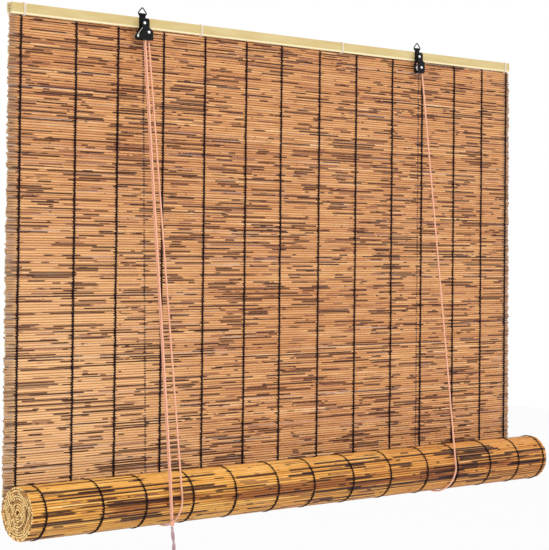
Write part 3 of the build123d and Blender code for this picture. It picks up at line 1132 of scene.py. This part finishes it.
    def knot(self, name: str, body: str, node: str, centre: Point, reach: float, height: float,
             slot: str = "pink_cord") -> bpy.types.Object:
        """An overhand knot: a three-lobed closed loop drawn tight round the cord's line.

        Args:
            name: the piece's name.
            body: the body it rides on.
            node: the node it replaces.
            centre: its middle.
            reach: how far it stands out from the cord's line.
            height: about half its height.
            slot: its slot, which says which cord it is tied in.

        Returns:
            The piece.
        """
        line = []
        for k in range(60):
            t = TURN * k / 60
            swing = reach * (0.62 + 0.38 * math.cos(3 * t))
            rise = height * 0.62 * math.sin(3 * t) + 0.3 * height * math.sin(t)
            line.append((
                centre[0] + swing * math.cos(2 * t), centre[1] + swing * math.sin(2 * t), centre[2] + rise))
        strand = Strand(np.array(metres(line)), self.radius * MM * 1.02, 9, True)
        finish = self.tail if slot == "tail_cord" else self.cord
        return stands_for(strands_piece(name, [strand], finish), body, slot, node)

    def coil_route(self) -> list[Point]:
        """The tail's route: down from the knot, then round the coil, a hexagon of turns.

        Returns:
            Its control points.
        """
        x0, y0, z0 = self.coil
        route = [
            (-283.8, y0, -712.5), (-282.9, y0, -720.0), (-282.0, y0, -727.0), (-280.6, y0, -735.5),
            (-280.4, y0, -744.0), (-283.2, y0, -754.0), (-289.5, y0, -763.0), (-291.6, y0, -772.0),
        ]
        corners = [math.radians(60 * k) for k in range(6)]
        lanes = [(self.coil_gap * math.cos(a), self.coil_gap * math.sin(a)) for a in corners]
        lanes.append((0.0, 0.0))
        around = 16
        for spot in range(1, self.turns * around):
            turn, share = spot // around, spot % around / around
            (out, aside), (next_out, next_aside) = lanes[turn], lanes[min(turn + 1, self.turns - 1)]
            slide = max(0.0, (share - 0.72) / 0.28)
            radius = self.coil_r + out + (next_out - out) * slide
            angle = TURN * share + self.coil_start
            route.append((
                x0 - radius * math.cos(angle),
                y0 + aside + (next_aside - aside) * slide,
                z0 - radius * math.sin(angle)))
        return route

    def coil_tie(self) -> bpy.types.Object:
        """A few wraps of thread that hold the coil together at its top.

        Returns:
            The piece.
        """
        x0, y0, z0 = self.coil
        line = []
        for k in range(97):
            share = k / 96
            angle = TURN * self.tie_wraps * share
            line.append((
                x0 + self.tie_width * (share - 0.5),
                y0 + self.tie_r * math.cos(angle),
                z0 + self.coil_r + self.tie_r * math.sin(angle)))
        strand = Strand(np.array(metres(line)), 1.0 * MM, 8)
        made = strands_piece("coil_tie_thread", [strand], self.thread)
        return stands_for(made, "pull_tail", "tie_thread", "coil_tie")

    def twisted_tail(self) -> None:
        """Build the doubled tail, two strands twisted together, with its knot, coil, tie and end."""
        line = spline_points(metres(self.coil_route()), 6)
        across, up = Strand(line, self.radius * MM).frames()
        steps = distances(line)
        strands = []
        for phase in (0.0, math.pi):
            angle = steps * (TURN / (self.twist * MM)) + phase
            shift = across * np.cos(angle)[:, None] + up * np.sin(angle)[:, None]
            strands.append(Strand(line + shift * self.radius * MM, self.radius * MM, 8))
        made = strands_piece("pull_tail_strands", strands, self.tail)
        stands_for(made, "pull_tail", "tail_cord", "pull_tail", "cord_coil")
        y0 = self.coil[1]
        join = self.knot("pull_knot", "pull_tail", "cord_knot", (-284.2, y0, -707.0), 2.5, 4.2)
        tie = self.coil_tie()
        end = self.knot("tail_end_knot", "pull_tail", "tail_end", (-277.4, y0, -803.0), 3.0, 4.0, "tail_cord")
        4 * self.radius * MM

    def build(self) -> None:
        """Build every cord."""
        self.lift("left", (self.left_x, -1.95, self.lock_z), -264.4, -271.6, -280.2)
        self.lift("right", (self.right_x, -3.95, -38.2), 296.0, 279.0, 281.0)
        self.pull("pull_cord_one", "pull_cord_back", -1.95, 0.6)
        self.pull("pull_cord_two", "pull_cord_front", -4.6, 3.3)
        self.through_hangers()
        self.knot("left_rear_knot", "head", "rear_knots", (-280.2, 15.6, -19.5), 2.4, 3.2)
        self.knot("right_rear_knot", "head", "rear_knots", (281.0, 15.6, -19.5), 2.4, 3.2)
        self.twisted_tail()
        LOG.info("cords: 2 lift cords, 2 pull cords, the cross run and the tail")


# ---- the reeds' tree ----------------------------------------------------------------------
class ReedTree(Tree):
    """Geometry tree that lays one round, slightly bent reed on each point it is given."""

    INPUTS = (
        ("Sides", "NodeSocketInt"), ("Segments", "NodeSocketInt"), ("Bend", "NodeSocketFloat"),
        ("Swell", "NodeSocketFloat"), ("Taper", "NodeSocketFloat"), ("Finish", "NodeSocketMaterial"),
    )

    def __init__(self) -> None:
        """Build the tree."""
        group = bpy.data.node_groups.new("reeds", "GeometryNodeTree")
        super().__init__(group)
        group.interface.new_socket(name="Geometry", in_out="INPUT", socket_type="NodeSocketGeometry")
        for name, kind in self.INPUTS:
            group.interface.new_socket(name=name, in_out="INPUT", socket_type=kind)
        group.interface.new_socket(name="Geometry", in_out="OUTPUT", socket_type="NodeSocketGeometry")
        self.group = group
        self.given = self.node("NodeGroupInput")
        self.build()

    def take(self, name: str) -> Wire:
        """One of the tree's inputs."""
        return Wire(self, self.given.outputs[name])

    def attribute(self, name: str) -> Wire:
        """A number stored on the points."""
        return self.add("GeometryNodeInputNamedAttribute", {"data_type": "FLOAT"}, {"Name": name})

    def keep(self, geometry: Wire, name: str, value: Wire, kind: str = "FLOAT",
             domain: str = "POINT") -> Wire:
        """Store a value on the geometry."""
        values = {"Geometry": geometry, "Name": name, "Value": value}
        return self.add("GeometryNodeStoreNamedAttribute", {"data_type": kind, "domain": domain}, values)

    def build(self) -> None:
        """Add the nodes: one unit reed, one instance a point, then bends, swellings and finish."""
        unit = self.node("GeometryNodeMeshCylinder", {"fill_type": "TRIANGLE_FAN"}, {
            "Vertices": self.take("Sides"), "Side Segments": self.take("Segments"),
            "Radius": 1.0, "Depth": 1.0})
        top, bottom = Wire(self, unit.outputs["Top"]), Wire(self, unit.outputs["Bottom"])
        reed = self.keep(Wire(self, unit.outputs["Mesh"]), "cap", top + bottom, domain="FACE")
        sideways = (0.0, math.pi / 2, 0.0)
        turned = self.add("GeometryNodeTransform", None, {"Geometry": reed, "Rotation": sideways})
        at_unit = self.add("GeometryNodeInputPosition")
        turned = self.keep(turned, "round", at_unit, "FLOAT_VECTOR")
        scale = self.vector(self.attribute("reach"), self.attribute("thick"), self.attribute("thick"))
        laid = self.add("GeometryNodeInstanceOnPoints", None, {
            "Points": self.take("Geometry"), "Instance": turned, "Scale": scale})
        real = self.add("GeometryNodeRealizeInstances", None, {"Geometry": laid})
        x, _, _ = self.parts(self.add("GeometryNodeInputPosition"))
        lane = self.attribute("seed") * 83.0
        sway = self.noise(self.vector(x * 5.0, lane, 0.0), 1.0, 1.5) - 0.5
        rise = self.noise(self.vector(x * 6.0, lane, 40.0), 1.0, 1.5) - 0.5
        swell = self.noise(self.vector(x * 13.0, lane, 80.0), 1.0, 2.0) - 0.5
        taper = x.math("ABSOLUTE").step(0.480, 0.506) * self.take("Taper")
        bend = self.take("Bend")
        offset = self.vector(0.0, sway * bend, rise * bend)
        real = self.add("GeometryNodeSetPosition", None, {"Geometry": real, "Offset": offset})
        outwards = self.add("ShaderNodeVectorMath", {"operation": "SCALE"}, {
            0: self.add("GeometryNodeInputNormal"), "Scale": swell * self.take("Swell") - taper})
        real = self.add("GeometryNodeSetPosition", None, {"Geometry": real, "Offset": outwards})
        finish = self.take("Finish")
        finished = self.add("GeometryNodeSetMaterial", None, {"Geometry": real, "Material": finish})
        self.node("NodeGroupOutput", None, {"Geometry": finished})


@dataclass(frozen=True)
class ReedShape:
    """How finely reeds are made, and how far they bend, swell and thin at their ends, in metres."""

    sides: int
    segments: int
    bend: float
    swell: float
    taper: float = 0.0


@dataclass
class ReedBatch:
    """Reeds that are laid together: where each is, how long, how thick, and its own seed."""

    centres: list[Point] = field(default_factory=list)
    reach: list[float] = field(default_factory=list)
    thick: list[float] = field(default_factory=list)
    seed: list[float] = field(default_factory=list)

    def lay(self, x0: float, x1: float, y: float, z: float, radius: float, seed: float) -> None:
        """Add one reed.

        Args:
            x0: its left end.
            x1: its right end.
            y: its centre, front to back.
            z: its height.
            radius: its radius.
            seed: its own number, from 0 to 1, which sets its colour and bends.
        """
        self.centres.append(((x0 + x1) / 2, y, z))
        self.reach.append(x1 - x0)
        self.thick.append(radius)
        self.seed.append(seed)

    def build(self, name: str, tree: ReedTree, finish: bpy.types.Material,
              shape: ReedShape) -> bpy.types.Object:
        """Run the reeds' tree on the batch.

        Args:
            name: the piece's name.
            tree: the geometry tree.
            finish: the reeds' material.
            shape: how the reeds are made.

        Returns:
            A plain mesh object.
        """
        seats = bpy.data.meshes.new(name)
        seats.from_pydata(self.centres, [], [])
        for mark in ("reach", "thick", "seed"):
            store(seats, mark, np.array(getattr(self, mark)))
        holder = link(f"{name}_seats", seats)
        modifier = holder.modifiers.new("reeds", "NODES")
        modifier.node_group = tree.group
        items = [item for item in tree.group.interface.items_tree if item.in_out == "INPUT"]
        sockets = {item.name: item.identifier for item in items}
        values = {"Sides": shape.sides, "Segments": shape.segments, "Bend": shape.bend,
                  "Swell": shape.swell, "Taper": shape.taper, "Finish": finish}
        for label, value in values.items():
            modifier[sockets[label]] = value
        holder.update_tag()
        bpy.context.view_layer.update()
        mesh = finished_mesh(holder)
        mesh.shade_smooth()
        mesh.set_sharp_from_angle(angle=math.radians(60))
        return piece(name, mesh)


# ---- the screen and the roll --------------------------------------------------------------
@dataclass
class Weave:
    """The screen's shared sizes, and the shape of its hanging and rolled parts."""

    random: np.random.Generator
    half: float = 500.0 * MM
    ends: tuple[float, float] = (-500.0 * MM, 504.0 * MM)
    flare: tuple[float, float] = (7.0 * MM, 5.0 * MM)
    plane: float = 7.0 * MM
    pitch: float = 3.4 * MM
    top: float = -15.6 * MM
    hidden: int = 4
    first: float = -30.4 * MM
    split: float = -95.0 * MM
    roll_z: float = -677.6 * MM
    roll_r: float = 35.5 * MM
    half_turns: int = 19
    roll_left: float = -508.0 * MM
    roll_right: float = 527.0 * MM
    lean: float = 6.4 * MM
    slip: float = 4.5 * MM
    hoop_stretch: float = 1.024
    hoop_shift: float = 13.5 * MM
    warps: tuple[float, ...] = (
        0.011, 0.100, 0.171, 0.251, 0.327, 0.406, 0.476, 0.555, 0.634, 0.715, 0.784, 0.861, 0.930, 0.992)

    @property
    def roll_y(self) -> float:
        """The roll's axis."""
        return self.plane - self.roll_r

    @property
    def last(self) -> float:
        """Height of the last hanging reed."""
        return self.roll_z + 1.7 * MM

    def rows(self) -> list[float]:
        """Heights of the hanging reeds under the batten."""
        count = round((self.first - self.last) / self.pitch)
        return [self.first - (self.first - self.last) * k / count for k in range(count + 1)]

    def down(self, z: float) -> float:
        """How far down the hanging screen a height is, from 0 to 1."""
        return min(1.0, max(0.0, (self.first - z) / (self.first - self.last)))

    def reed_ends(self, z: float) -> tuple[float, float]:
        """Both ends of the reeds at a height."""
        down = self.down(z)
        return self.ends[0] - self.flare[0] * down, self.ends[1] + self.flare[1] * down

    def half_turn(self, k: int) -> float:
        """The radius of the spiral's half turn number k, counted from outside."""
        return self.roll_r - self.pitch / 4 - k * self.pitch / 2

    def turn(self, distance: float) -> Seat:
        """Follow the roll's spiral from where it leaves the hanging screen.

        Args:
            distance: how far along, in metres.

        Returns:
            Y and Z of the reed's centre, and the outward direction there.
        """
        for k in range(self.half_turns):
            radius = self.half_turn(k)
            arc = math.pi * radius
            if distance <= arc or k == self.half_turns - 1:
                break
            distance -= arc
        side = 1 if k % 2 == 0 else -1
        angle = -distance / radius + (0.0 if side > 0 else math.pi)
        out_y, out_z = math.cos(angle), math.sin(angle)
        centre_y = self.roll_y + side * self.pitch / 4
        return centre_y + radius * out_y, self.roll_z + radius * out_z, out_y, out_z

    def spiral_length(self) -> float:
        """The length of the wound screen."""
        return sum(math.pi * self.half_turn(k) for k in range(self.half_turns))

    def warp_x(self, share: float, z: float) -> float:
        """A warp's place along X at a height: those at the left lean, those at the right have slipped."""
        even = (share - 0.5) * 2 * self.half
        return even + self.slip * share + self.lean * (1 - share) * (1 - self.down(z))

    def hoop_x(self, share: float) -> float:
        """A warp's place along X on the roll, whose turns have crept sideways."""
        return (share - 0.5) * 2 * self.half * self.hoop_stretch + self.hoop_shift


@dataclass
class Screen:
    """The hanging screen: its fixed top and the lower part that winds up.

    Some rows are two reeds that meet with a lap. A ragged end is past or short of the row's own end.
    """

    weave: Weave
    two_reeds: float = 0.28
    ragged: float = 1.2 * MM
    sway: float = 0.35 * MM
    thick: tuple[float, float] = (1.72 * MM, 1.87 * MM)
    hidden_thick: float = 1.75 * MM
    lap: float = 4 * MM
    step_back: float = 0.2 * MM
    step_up: float = 0.15 * MM
    top_shape: ReedShape = ReedShape(9, 44, 0.5 * MM, 0.6 * MM, 0.15 * MM)
    bottom_shape: ReedShape = ReedShape(8, 44, 0.5 * MM, 0.6 * MM, 0.15 * MM)

    def lay_row(self, batch: ReedBatch, z: float) -> None:
        """Lay one row, as one reed or as two that meet somewhere along it.

        Args:
            batch: the reeds it joins.
            z: its height.
        """
        draw = self.weave.random
        left, right = self.weave.reed_ends(z)
        left += draw.uniform(-1.6, 0.8) * self.ragged
        right += draw.uniform(-0.8, 1.6) * self.ragged
        y = self.weave.plane + draw.uniform(-self.sway, self.sway)
        radius = draw.uniform(*self.thick)
        seed = draw.random()
        if draw.random() > self.two_reeds:
            batch.lay(left, right, y, z, radius, seed)
            return
        meet = draw.uniform(-0.42, 0.42)
        batch.lay(left, meet + self.lap, y, z + self.step_up, radius * 0.97, seed)
        batch.lay(meet - self.lap, right, y - self.step_back, z - self.step_up, radius, draw.random())

    def build(self, tree: ReedTree, finish: bpy.types.Material) -> None:
        """Build both parts of the screen.

        Args:
            tree: the geometry tree.
            finish: the reeds' material.
        """
        weave = self.weave
        upper, lower = ReedBatch(), ReedBatch()
        step = (weave.top - weave.first) / weave.hidden
        for k in range(weave.hidden):
            z = weave.top - k * step
            upper.lay(-weave.half, weave.half, weave.plane, z, self.hidden_thick, weave.random.random())
        for z in weave.rows():
            self.lay_row(upper if z > weave.split else lower, z)
        top = upper.build("screen_upper", tree, finish, self.top_shape)
        stands_for(top, "head", "reed", "reeds_upper", "reeds_in_batten")
        bottom = lower.build("screen_lower", tree, finish, self.bottom_shape)
        stands_for(bottom, "head", "reed", "reeds_lower")
        wind_up(bottom, weave.split, weave.roll_z)
        LOG.info("screen: %d and %d reeds", len(upper.seed), len(lower.seed))


@dataclass
class Roll:
    """The wound part of the screen, as its own reeds along the spiral.

    The outer turn is laid in detail. Inside it only the reeds' ends show, so several neighbours share
    a seed, and only some of them get a fresh one.
    """

    weave: Weave
    detailed_turns: float = 1.15
    fresh: float = 0.42
    sway: float = 0.35 * MM
    ragged: tuple[float, float] = (0.4 * MM, 0.8 * MM)
    outer_thick: tuple[float, float] = (1.60 * MM, 1.80 * MM)
    inner_thick: tuple[float, float] = (1.42 * MM, 1.56 * MM)
    inner_pitch: float = 0.86
    outer_shape: ReedShape = ReedShape(9, 44, 0.8 * MM, 0.45 * MM)
    inner_shape: ReedShape = ReedShape(8, 3, 0.2 * MM, 0.1 * MM)

    def build(self, tree: ReedTree, finish: bpy.types.Material) -> None:
        """Build the outer turn in detail and the inner turns plainly.

        Args:
            tree: the geometry tree.
            finish: the reeds' material.
        """
        weave, draw = self.weave, self.weave.random
        outer, inner = ReedBatch(), ReedBatch()
        near = self.detailed_turns * TURN * weave.roll_r
        total = weave.spiral_length()
        past, short = self.ragged
        distance = 0.5 * weave.pitch
        seed = draw.random()
        while distance < total:
            y, z, out_y, out_z = weave.turn(distance)
            fine = distance < near
            shift = draw.uniform(-self.sway, self.sway) if fine else 0.0
            left = weave.roll_left + draw.uniform(-past, short)
            right = weave.roll_right + draw.uniform(-short, past)
            radius = draw.uniform(*(self.outer_thick if fine else self.inner_thick))
            if fine or draw.random() < self.fresh:
                seed = draw.random()
            batch = outer if fine else inner
            batch.lay(left, right, y + shift * out_y, z + shift * out_z, radius, seed)
            distance += weave.pitch if fine else weave.pitch * self.inner_pitch
        shell = outer.build("roll_outer_turn", tree, finish, self.outer_shape)
        core = inner.build("roll_inner_turns", tree, finish, self.inner_shape)
        for part in (shell, core):
            stands_for(part, "roll", "rolled_reed", "rolled_screen")
        LOG.info("roll: %d reeds", len(outer.seed) + len(inner.seed))


@dataclass
class Warps:
    """Twined warps: two threads that cross between every two reeds."""

    weave: Weave
    thread: float = 1.20 * MM
    hoop_thread: float = 0.95 * MM
    lean: float = 1.50 * MM
    hug: float = 2.45 * MM
    wander: float = 0.22 * MM
    hoop_turns: float = 1.1
    sides: int = 5

    def twine(self, places: Sequence[float], seats: Sequence[Seat], phase: int) -> np.ndarray:
        """One thread's line.

        Args:
            places: where the warp is along X, at each reed.
            seats: for each reed its centre in Y and Z, and the direction of its outer face.
            phase: 0 or 1, for the thread that starts in front or behind.

        Returns:
            The line's points.
        """
        draw = self.weave.random
        line = []
        wander = draw.uniform(-0.25, 0.25) * MM
        for k, (x, (y, z, out_y, out_z)) in enumerate(zip(places, seats)):
            face = 1 if (k + phase) % 2 == 0 else -1
            ahead_y, ahead_z = -out_z, out_y
            if ahead_z > 0 and abs(out_z) < 0.01:
                ahead_y, ahead_z = -ahead_y, -ahead_z
            wander = 0.8 * wander + draw.uniform(-self.wander, self.wander)
            for step, out, side in ((-0.5, 0.0, -1.0), (-0.2, 1.0, -0.45), (0.2, 1.0, 0.45)):
                along = step * self.weave.pitch
                stand = face * out * self.hug
                line.append((
                    x + wander + face * side * self.lean,
                    y + out_y * stand + ahead_y * along,
                    z + out_z * stand + ahead_z * along))
        return np.array(line)

    def piece_for(self, name: str, body: str, node: str, seats: Sequence[Seat], rolled: bool,
                  finish: bpy.types.Material) -> bpy.types.Object:
        """All the warps across one stretch of reeds.

        Args:
            name: the piece's name.
            body: the body it rides on.
            node: the node it replaces.
            seats: the stretch's reeds.
            rolled: whether they are on the roll.
            finish: the thread's material.

        Returns:
            The piece.
        """
        weave = self.weave
        thread = self.hoop_thread if rolled else self.thread
        strands = []
        for share in weave.warps:
            places = [weave.hoop_x(share) if rolled else weave.warp_x(share, seat[1]) for seat in seats]
            strands.extend(Strand(self.twine(places, seats, phase), thread, self.sides) for phase in (0, 1))
        return stands_for(strands_piece(name, strands, finish), body, "warp_thread", node)

    def build(self, finish: bpy.types.Material) -> None:
        """Build the warps on the screen and round the roll.

        Args:
            finish: the thread's material.
        """
        weave = self.weave
        hanging = [(weave.plane, z, -1.0, 0.0) for z in weave.rows()]
        above = [seat for seat in hanging if seat[1] > weave.split]
        below = [seat for seat in hanging if seat[1] <= weave.split]
        self.piece_for("warps_top", "head", "warps_upper", above, False, finish)
        lower = self.piece_for("warps_hanging", "head", "warps_lower", below, False, finish)
        wind_up(lower, weave.split, weave.roll_z)
        count = int(self.hoop_turns * TURN * weave.roll_r / weave.pitch)
        hoops = [weave.turn((k + 0.5) * weave.pitch) for k in range(count)]
        self.piece_for("warps_round_roll", "roll", "rolled_warps", hoops, True, finish)
        LOG.info("warps: %d, across %d reeds", len(weave.warps), len(hanging) + count)


# ---- batten -------------------------------------------------------------------------------
@dataclass
class Batten:
    """The head batten: two bamboo slats and their thread ties."""

    random: np.random.Generator
    half: float = 500.0 * MM
    top: float = -12.6 * MM
    bottom: float = -27.6 * MM
    front: tuple[float, float] = (0.6 * MM, 5.1 * MM)
    back: tuple[float, float] = (8.9 * MM, 12.4 * MM)
    front_swell: float = 0.5 * MM
    back_swell: float = 0.3 * MM
    edge: float = 0.9 * MM
    stations: int = 180
    nodes: tuple[float, ...] = (-0.345, -0.031, 0.287)
    node_half: float = 0.006
    ties: tuple[float, ...] = (-0.480, -0.178, 0.104, 0.489)
    tie_gap: float = 0.85 * MM
    tie_thread: float = 0.55 * MM
    tie_out: float = 0.75 * MM
    tie_lean: float = 0.5 * MM

    def section(self, y0: float, y1: float) -> list[tuple[float, float]]:
        """A slat's rounded section.

        Args:
            y0: its front.
            y1: its back.

        Returns:
            Its outline in Y and Z, from its upper back corner by way of its front.
        """
        corners = ((y1, self.top, 0), (y0, self.top, 90), (y0, self.bottom, 180), (y1, self.bottom, 270))
        outline = []
        for y, z, start in corners:
            centre_y = y + (self.edge if y == y0 else -self.edge)
            centre_z = z + (self.edge if z == self.bottom else -self.edge)
            for part in range(4):
                angle = math.radians(start + 30 * part)
                out_y, out_z = self.edge * math.cos(angle), self.edge * math.sin(angle)
                outline.append((centre_y + out_y, centre_z + out_z))
        return outline

    def slat(self, name: str, y0: float, y1: float, swell: float) -> bpy.types.Mesh:
        """One slat, with the faint swellings of a split bamboo at its nodes.

        Args:
            name: its name.
            y0: its front.
            y1: its back.
            swell: how much thicker it is at a node.

        Returns:
            Its mesh.
        """
        outline = self.section(y0, y1)
        middle_y = (y0 + y1) / 2
        middle_z = (self.top + self.bottom) / 2
        points = []
        wave = self.random.uniform(0, 6.28, 4)
        for k in range(self.stations + 1):
            x = -self.half + 2 * self.half * k / self.stations
            puff = sum(math.exp(-((x - node) / self.node_half) ** 2) for node in self.nodes) * swell
            lift = 0.12 * MM * math.sin(9 * x + wave[0]) + 0.07 * MM * math.sin(31 * x + wave[1])
            for y, z in outline:
                out_y = (y - middle_y) * (1 + puff / (y1 - y0))
                out_z = (z - middle_z) * (1 + 0.4 * puff / (self.top - self.bottom))
                points.append((x, middle_y + out_y, middle_z + out_z + lift))
        mesh = mesh_from(name, np.array(points), tube_faces(self.stations + 1, len(outline)))
        mesh.set_sharp_from_angle(angle=math.radians(50))
        return mesh

    def tie_loop(self, x: float, lean: float) -> np.ndarray:
        """One strand of a tie, round both slats.

        Args:
            x: its place along the batten.
            lean: how far it leans across each face.

        Returns:
            Its line.
        """
        y0, y1 = self.front[0] - self.tie_out, self.back[1] + self.tie_out
        z0, z1 = self.bottom - self.tie_out, self.top + self.tie_out
        corners = ((y0, z0), (y0, z1), (y1, z1), (y1, z0))
        line = []
        for (ay, az), (by, bz) in zip(corners, (*corners[1:], corners[0])):
            for share in (0.08, 0.36, 0.64, 0.92):
                tilt = lean * (share - 0.5) if ay == by else 0.0
                line.append((x + tilt, ay + (by - ay) * share, az + (bz - az) * share))
        return np.array(line)

    def build(self, bamboo: bpy.types.Material, thread: bpy.types.Material) -> None:
        """Build the slats and ties.

        Args:
            bamboo: the slats' material.
            thread: the ties' material.
        """
        slats = (("batten_front", self.front, self.front_swell), ("batten_back", self.back, self.back_swell))
        for name, (y0, y1), swell in slats:
            made = piece(f"{name}_slat", self.slat(name, y0, y1, swell), bamboo)
            stands_for(made, "head", "bamboo_slat", name)
        strands = []
        for x in self.ties:
            for offset in (-self.tie_gap, self.tie_gap):
                loop = self.tie_loop(x + offset, self.random.uniform(-self.tie_lean, self.tie_lean))
                strands.append(Strand(loop, self.tie_thread, 7, True))
        stands_for(strands_piece("batten_tie_threads", strands, thread), "head", "tie_thread", "batten_ties")
        LOG.info("batten: 2 slats, %d ties", len(self.ties))


# ---- hangers ------------------------------------------------------------------------------
@dataclass
class Hangers:
    """The finishes of the hangers' own metal and plastic, whose shapes are already right.

    The slot runs between two points, X and Z, on the front plate's face, in millimetres.
    """

    enamel: bpy.types.Material
    plated: bpy.types.Material
    nylon: bpy.types.Material
    steel: bpy.types.Material
    wire: bpy.types.Material
    slot: tuple[tuple[float, float], ...] = ((-299.6, -39.8), (-290.6, -28.4))
    highlight_bend_r: float = 1.6
    highlight_wire: float = 0.55
    face: float = -8.55

    def dress(self, nodes: dict[str, bpy.types.Object]) -> None:
        """Give each node its finish.

        Args:
            nodes: the nodes by name.
        """
        finishes = {
            self.enamel: ("lock_back_plate", "lock_front_plate", "pulley_back_plate", "pulley_front_plate",
                          "sleeves"),
            self.plated: ("fixing_screws", "lock_axle", "pulley_axle"),
            self.nylon: ("lock_pulley", "pulley_wheel"),
            self.steel: ("locking_roller",),
            self.wire: ("ring_left", "ring_right"),
        }
        for finish, names in finishes.items():
            for name in names:
                mesh = nodes[name].data
                mesh.materials.clear()
                mesh.materials.append(finish)
                LOG.info("%s: %s", name, finish.name)
        self.slot_edge_highlight()

    def slot_edge_highlight(self) -> None:
        """Build a bright steel strand along the slot's outer side: a painted highlight standing in for
        the light that the plate's slanted edge catches.
        """
        (x0, z0), (x1, z1) = self.slot
        lean = math.atan2(z1 - z0, x1 - x0)
        line = [(x1 - self.highlight_bend_r * math.sin(lean), self.face, z1 + self.highlight_bend_r * math.cos(lean))]
        for k in range(7):
            turn = lean + math.radians(90 + 25 * k)
            line.append((x0 + self.highlight_bend_r * math.cos(turn), self.face, z0 + self.highlight_bend_r * math.sin(turn)))
        # Painted highlight: a bright strand stands in for the light along the plate's slanted edge.
        strand = Strand(np.array(line) * MM, self.highlight_wire * MM, 8)
        stands_for(strands_piece("lock_slot_lip", [strand], self.steel), "head", "roller_steel")


def main() -> None:
    """Build the blind's looks in order."""
    logging.basicConfig(level=logging.INFO, format="%(name)s %(message)s")
    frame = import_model()
    Studio().build()
    pale_thread = ThreadFinish("tie_thread", (0.97, 0.90, 0.82), (0.80, 0.68, 0.58), 2.4 * MM).make()
    dark_thread = ThreadFinish("warp_thread", (0.030, 0.014, 0.018), (0.006, 0.003, 0.004), 1.6 * MM).make()
    Cords(
        cord=CordFinish("pink_cord", (0.98, 0.53, 0.36), (0.72, 0.32, 0.20)).make(),
        tail=CordFinish("tail_cord", (0.60, 0.40, 0.42), (0.34, 0.20, 0.22)).make(),
        thread=pale_thread,
    ).build()
    random = np.random.default_rng(20)
    weave = Weave(random)
    tree = ReedTree()
    Screen(weave).build(tree, ReedFinish(Tone.HANGING).make())
    Roll(weave).build(tree, ReedFinish(Tone.ROLLED).make())
    Warps(weave).build(dark_thread)
    Batten(random).build(BambooFinish().make(), pale_thread)
    Hangers(
        enamel=EnamelFinish("black_steel").make(),
        plated=PlatedFinish("bright_rivet", (0.86, 0.86, 0.88), 0.14).make(),
        nylon=NylonFinish().make(),
        steel=PlatedFinish("roller_steel", (0.66, 0.68, 0.60), 0.34).make(),
        wire=EnamelFinish("ring_wire", 0.2).make(),
    ).dress(frame["nodes"])


if __name__ == "__main__":
    main()
